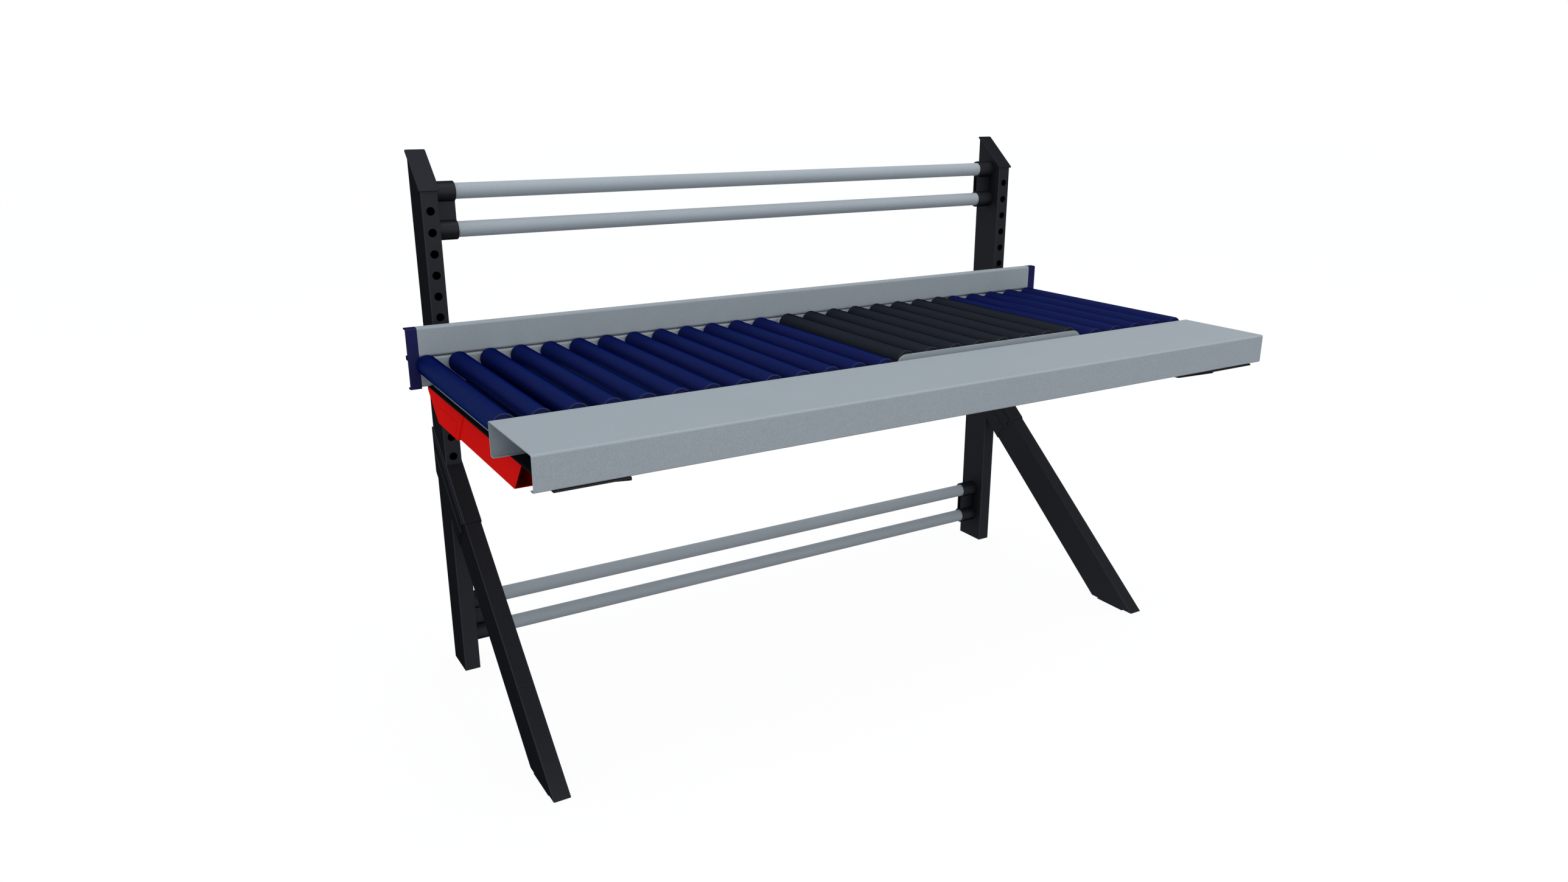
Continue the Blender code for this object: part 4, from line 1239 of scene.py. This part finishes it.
class RollerSettings(PropertyGroup):
    """Sizes of the rollers and their axles."""
    wall: length("Wall", "Wall of the roller tube", 0.004)
    round: length("Rim Rounding", "Rounding of the tube's ends", 0.0015)
    sink: length("Sink", "Depth of the end cap inside the tube", 0.0025)
    cap: length("Cap", "Thickness of the end cap", 0.006)
    # Painted highlight: share of the rims' pale colour on the end caps, by how squarely a face
    # looks along the axle.
    cap_paleness: share("Cap Paleness", "Share of the rims' colour on the end caps", 0.45)
    collar: length("Collar", "Width of the collar round the axle", 0.003)
    axle_flats: length("Axle", "Hexagon axle, across its flats", 0.011)
    axle_grip: length("Grip", "Axle inside the roller's end", 0.010)
    axle_stub: length("Stub", "Axle behind the sheet that holds it", 0.005)
    axle_inset: length("Inset", "Axle's end inside the cradle plates' boxes", 0.005)


class SheetSettings(PropertyGroup):
    """Sizes of the folded sheet and of the rail ends."""
    thickness: length("Thickness", "Thickness of the sheet", 0.002)
    bend: length("Bend", "Outer radius of a fold", 0.0045)
    rail_bend: length("Rail Bend", "Outer radius of the rear rails' folds", 0.006)
    rail_slot: length("Rail Slot", "Open slot between the two rear rails", 0.0016)
    edge: length("Edge", "Rounding of the sheet's cut edges", 0.0003)
    lip: length("Lip", "Depth of the cover's bottom lips", 0.016)
    plate: length("Plate", "Thickness of the cradle's side plates", 0.004)
    plate_reach: length("Plate Reach", "Right ends of the plates past the CAD solids'", 0.005)
    corner: length("Corner", "Radius of the side plates' top corners", 0.026)
    foot: length("Foot", "Depth of the side plates' folded feet", 0.025)
    axle_tail: length("Tail", "Axle past the cradle's side plates", 0.003)
    cap_wall: length("Cap Wall", "Wall of the rail ends", 0.0035)
    cap_rib: length("Cap Rib", "Height of the rib between the rails", 0.010)
    cap_drop: length("Cap Drop", "Bottoms of the rail ends below the CAD solids'", 0.0018)
    gap: length("Gap", "Clearance between fitted pieces", 0.0003)


class TubeSettings(PropertyGroup):
    """Sizes of the frame tubes, what closes them and what ties them together."""
    wall: length("Wall", "Wall of the frame tube", 0.003)
    corner: length("Corner", "Outer corner radius of the frame tube", 0.0024)
    soft: length("Soft Edge", "Rounding of cut edges", 0.0005)
    gap: length("Gap", "Clearance between fitted pieces", 0.0003)
    hole_diameter: length("Hole", "Diameter of the holes in the uprights", 0.020)
    hole_pitch: length("Pitch", "From hole to hole", 0.050)
    hole_drop: length("Drop", "Top hole below the upright's front edge", 0.0475)
    hole_count: IntProperty(name="Holes", description="Holes in each upright", default=13,
                            min=1, max=40)
    lid: length("Lid", "Thickness of the sloped lids", 0.0035)
    lid_corner: length("Lid Corner", "Corner radius of the sloped lids", 0.004)
    lid_edge: length("Lid Edge", "Rounding of the sloped lids' edges", 0.0012)
    plug: length("Plug", "Depth of the lids' plugs", 0.014)
    glide: length("Glide", "Length of the pads under the legs", 0.096)
    glide_edge: length("Glide Edge", "Rounding of the pads", 0.0004)
    bar_wall: length("Bar Wall", "Wall of the crossbars", 0.002)
    bracket: length("Bracket", "Thickness of the bed brackets", 0.0042)
    bracket_nose: length("Bracket Nose", "Depth of the flange at its front end", 0.0025)
    bracket_taper: length("Bracket Taper", "Length over which the flange grows", 0.1006)
    socket_round: length("Socket Rounding", "Rounding of the sockets' rims", 0.002)
    web_front: length("Web Front", "Web of a socket pair, in front of the bars' axes", 0.0042)
    web_back: length("Web Back", "Web of a socket pair, behind the bars' axes", 0.0105)
    web_wall: length("Web Wall", "Web in front of its slot", 0.0008)
    web_slot: length("Web Slot", "Width of the slot in a web's end", 0.0105)
    web_slot_depth: length("Web Slot Depth", "Depth of that slot", 0.030)
    socket_floor: length("Socket Floor", "Thickness of the sockets' floors", 0.008)
    socket_gap: length("Socket Gap", "Clearance round a crossbar", 0.0003)


class KneeSettings(PropertyGroup):
    """Sizes of the knees."""
    corner: length("Corner", "Radius of the sleeve's corners", 0.006)
    edge: length("Edge", "Rounding of the outer edges", 0.0043)
    back: length("Back", "Cheeks behind the upright", 0.0030)
    crop: length("Crop", "Tops of the cheeks below the CAD solids'", 0.0012)
    tip: length("Tip", "Radius of the cheeks' upper rear corners", 0.002)
    mouth_gap: length("Mouth Gap", "Relief round the leg where it enters", 0.0016)
    mouth_depth: length("Mouth Depth", "Depth of that relief", 0.012)
    sleeve: length("Sleeve", "Sleeve on the leg, in front of the upright", 0.1305)
    groove: lengths("Groove", "Width, depth, slope and bend", (0.006, 0.0022, 0.0025, 0.0095))
    groove_inset: length("Groove Inset", "Grooves inside the sleeve's end", 0.0100)
    groove_back: length("Groove Back", "Grooves' ends behind the upright's front", 0.099)
    upper_groove: length("Upper Groove", "Above the leg's axis", 0.036)
    lower_groove: length("Lower Groove", "Below the leg's axis", 0.003)
    upper_tail: length("Upper Tail", "Short end of the upper groove", 0.018)
    lower_tail: length("Lower Tail", "Short end of the lower groove", 0.035)


class ArmSettings(PropertyGroup):
    """Sizes of the arms and their sleeves."""
    soft: length("Soft Edge", "Rounding of the outer edges", 0.001)
    wall: length("Wall", "Wall of the arm's tube", 0.0015)
    lift: length("Lift", "Underside of the arm above its sleeve's", 0.0051)
    reach: length("Reach", "Sleeve's bottom in front of the upright", 0.154)
    heel: length("Heel", "Sleeve's bottom behind the upright's front", 0.0183)
    corner: length("Corner", "Radius of the sleeve's corners", 0.003)
    toe: length("Toe", "Radius of the sleeve's lower front corner", 0.010)
    inside_tilt: share("Inside Tilt", "Most tilt of a face inside the arm's tube", 0.3)
    groove: lengths("Groove", "Width, depth, slope and bend", (0.0025, 0.0014, 0, 0.006))
    groove_inset: length("Groove Inset", "Grooves inside the sleeve's end", 0.0295)
    upper_groove: length("Upper Groove", "Above the sleeve's bottom", 0.0863)
    lower_groove: length("Lower Groove", "Above the sleeve's bottom", 0.0473)
    upper_back: length("Upper Back", "Groove's end behind the upright's front", 0.060)
    lower_back: length("Lower Back", "Where the lower groove turns up", 0.005)
    lower_rise: length("Lower Rise", "Rise of the lower groove's end", 0.022)
    upper_tail: length("Upper Tail", "Short end of the upper groove", 0.0215)
    lower_tail: length("Lower Tail", "Short end of the lower groove", 0.036)


class StageSettings(PropertyGroup):
    """Light and floor of the studio."""
    sky: number("Sky", "Strength of the even light", 0.735, max=5)
    sky_colour: colour("Sky Colour", "Tint of the even light", (0.875, 0.935, 1.0))
    key: power("Key", "Power of the soft box above", 174)
    fill: power("Fill", "Power of the soft box in front", 85)
    side: power("Side", "Power of the soft box at the left", 30)
    lamp_colour: colour("Lamp Colour", "Tint of the soft boxes", (1.0, 0.965, 0.92))
    side_colour: colour("Side Colour", "Tint of the soft box at the left", (0.80, 0.88, 1.0))
    floor: colour("Floor", "Colour of the floor", (0.42, 0.42, 0.42))
    floor_white: number("Floor White", "Brightness of the floor as seen", 1.12, max=2)
    floor_share: share("Floor Share", "How far the seen floor hides its shading", 0.85)


class TableSettings(PropertyGroup):
    """All settings of the roller table."""
    finishes: PointerProperty(type=FinishSettings)
    rollers: PointerProperty(type=RollerSettings)
    sheet: PointerProperty(type=SheetSettings)
    tubes: PointerProperty(type=TubeSettings)
    knees: PointerProperty(type=KneeSettings)
    arms: PointerProperty(type=ArmSettings)
    stage: PointerProperty(type=StageSettings)


# Operators

class ROLLERTABLE_OT_rollers(Operator):
    """Turn the rollers of the bed and of the weighing cradle, and their axle ends"""
    bl_idname = "roller_table.rollers"
    bl_label = "Rollers"

    def execute(self, context):
        sizes = context.scene.roller_table.rollers
        make_rollers(sizes, "bed_roller")
        make_rollers(sizes, "weigh_roller")
        make_axles(sizes)
        return {"FINISHED"}


class ROLLERTABLE_OT_rails(Operator):
    """Fold the rear rails and mould their end caps"""
    bl_idname = "roller_table.rails"
    bl_label = "Rails"

    def execute(self, context):
        sheet = context.scene.roller_table.sheet
        make_rails(sheet)
        make_rail_caps(sheet)
        return {"FINISHED"}


class ROLLERTABLE_OT_front_cover(Operator):
    """Fold the wide front cover"""
    bl_idname = "roller_table.front_cover"
    bl_label = "Front Cover"

    def execute(self, context):
        make_front_cover(context.scene.roller_table.sheet)
        return {"FINISHED"}


class ROLLERTABLE_OT_cradle(Operator):
    """Fold the cross-members and the weighing cradle's side plates"""
    bl_idname = "roller_table.cradle"
    bl_label = "Cradle and Cross-members"

    def execute(self, context):
        sheet = context.scene.roller_table.sheet
        make_cross_members(sheet)
        make_cradle(sheet)
        return {"FINISHED"}


class ROLLERTABLE_OT_uprights(Operator):
    """Cut and perforate the uprights, and close their sloped tops"""
    bl_idname = "roller_table.uprights"
    bl_label = "Uprights"

    def execute(self, context):
        tube = context.scene.roller_table.tubes
        make_uprights(tube)
        make_upright_caps(tube)
        return {"FINISHED"}


class ROLLERTABLE_OT_legs(Operator):
    """Cut the leaning legs and put glides under them"""
    bl_idname = "roller_table.legs"
    bl_label = "Legs"

    def execute(self, context):
        tube = context.scene.roller_table.tubes
        make_legs(tube)
        make_leg_glides(tube)
        return {"FINISHED"}


class ROLLERTABLE_OT_clasps(Operator):
    """Form the knees and the arms with their sleeves"""
    bl_idname = "roller_table.clasps"
    bl_label = "Knees and Arms"

    def execute(self, context):
        settings = context.scene.roller_table
        make_knees(settings.knees, settings.tubes)
        make_arms(settings.arms, settings.tubes)
        return {"FINISHED"}


class ROLLERTABLE_OT_brackets(Operator):
    """Form the brackets between the arms and the bed"""
    bl_idname = "roller_table.brackets"
    bl_label = "Bed Brackets"

    def execute(self, context):
        make_bed_brackets(context.scene.roller_table.tubes)
        return {"FINISHED"}


class ROLLERTABLE_OT_crossbars(Operator):
    """Make the round crossbars and the sockets that hold them"""
    bl_idname = "roller_table.crossbars"
    bl_label = "Crossbars"

    def execute(self, context):
        tube = context.scene.roller_table.tubes
        make_crossbars(tube)
        make_sockets(tube)
        return {"FINISHED"}


class ROLLERTABLE_OT_stage(Operator):
    """Set up the floor, the light and the camera"""
    bl_idname = "roller_table.stage"
    bl_label = "Stage"

    def execute(self, context):
        stage = context.scene.roller_table.stage
        context.scene.view_settings.view_transform = "Standard"
        make_camera()
        make_floor(stage)
        make_world(stage)
        make_lamps(stage)
        return {"FINISHED"}


OPERATORS = (
    ROLLERTABLE_OT_rollers,
    ROLLERTABLE_OT_rails,
    ROLLERTABLE_OT_front_cover,
    ROLLERTABLE_OT_cradle,
    ROLLERTABLE_OT_uprights,
    ROLLERTABLE_OT_legs,
    ROLLERTABLE_OT_clasps,
    ROLLERTABLE_OT_brackets,
    ROLLERTABLE_OT_crossbars,
    ROLLERTABLE_OT_stage,
)


class ROLLERTABLE_PT_pieces(Panel):
    """Lists the table's pieces and settings"""
    bl_label = "Roller Table"
    bl_idname = "ROLLERTABLE_PT_pieces"
    bl_space_type = "VIEW_3D"
    bl_region_type = "UI"
    bl_category = "Roller Table"

    def draw(self, context):
        column = self.layout.column(align=True)
        for operator in OPERATORS:
            column.operator(operator.bl_idname)
        for name in TableSettings.__annotations__:
            group = getattr(context.scene.roller_table, name)
            box = self.layout.box()
            box.label(text=type(group).__doc__)
            for setting in group.__annotations__:
                box.prop(group, setting)


CLASSES = (
    FinishSettings,
    RollerSettings,
    SheetSettings,
    TubeSettings,
    KneeSettings,
    ArmSettings,
    StageSettings,
    TableSettings,
    *OPERATORS,
    ROLLERTABLE_PT_pieces,
)


def register():
    """Registers the classes and the scene's settings."""
    for cls in CLASSES:
        bpy.utils.register_class(cls)
    bpy.types.Scene.roller_table = PointerProperty(type=TableSettings)


def unregister():
    """Takes back what register did."""
    del bpy.types.Scene.roller_table
    for cls in reversed(CLASSES):
        bpy.utils.unregister_class(cls)


def main():
    """Builds every piece and the stage."""
    register()
    bpy.ops.roller_table.rollers()
    bpy.ops.roller_table.rails()
    bpy.ops.roller_table.front_cover()
    bpy.ops.roller_table.cradle()
    bpy.ops.roller_table.uprights()
    bpy.ops.roller_table.legs()
    bpy.ops.roller_table.clasps()
    bpy.ops.roller_table.brackets()
    bpy.ops.roller_table.crossbars()
    bpy.ops.roller_table.stage()


if __name__ == "__main__":
    main()
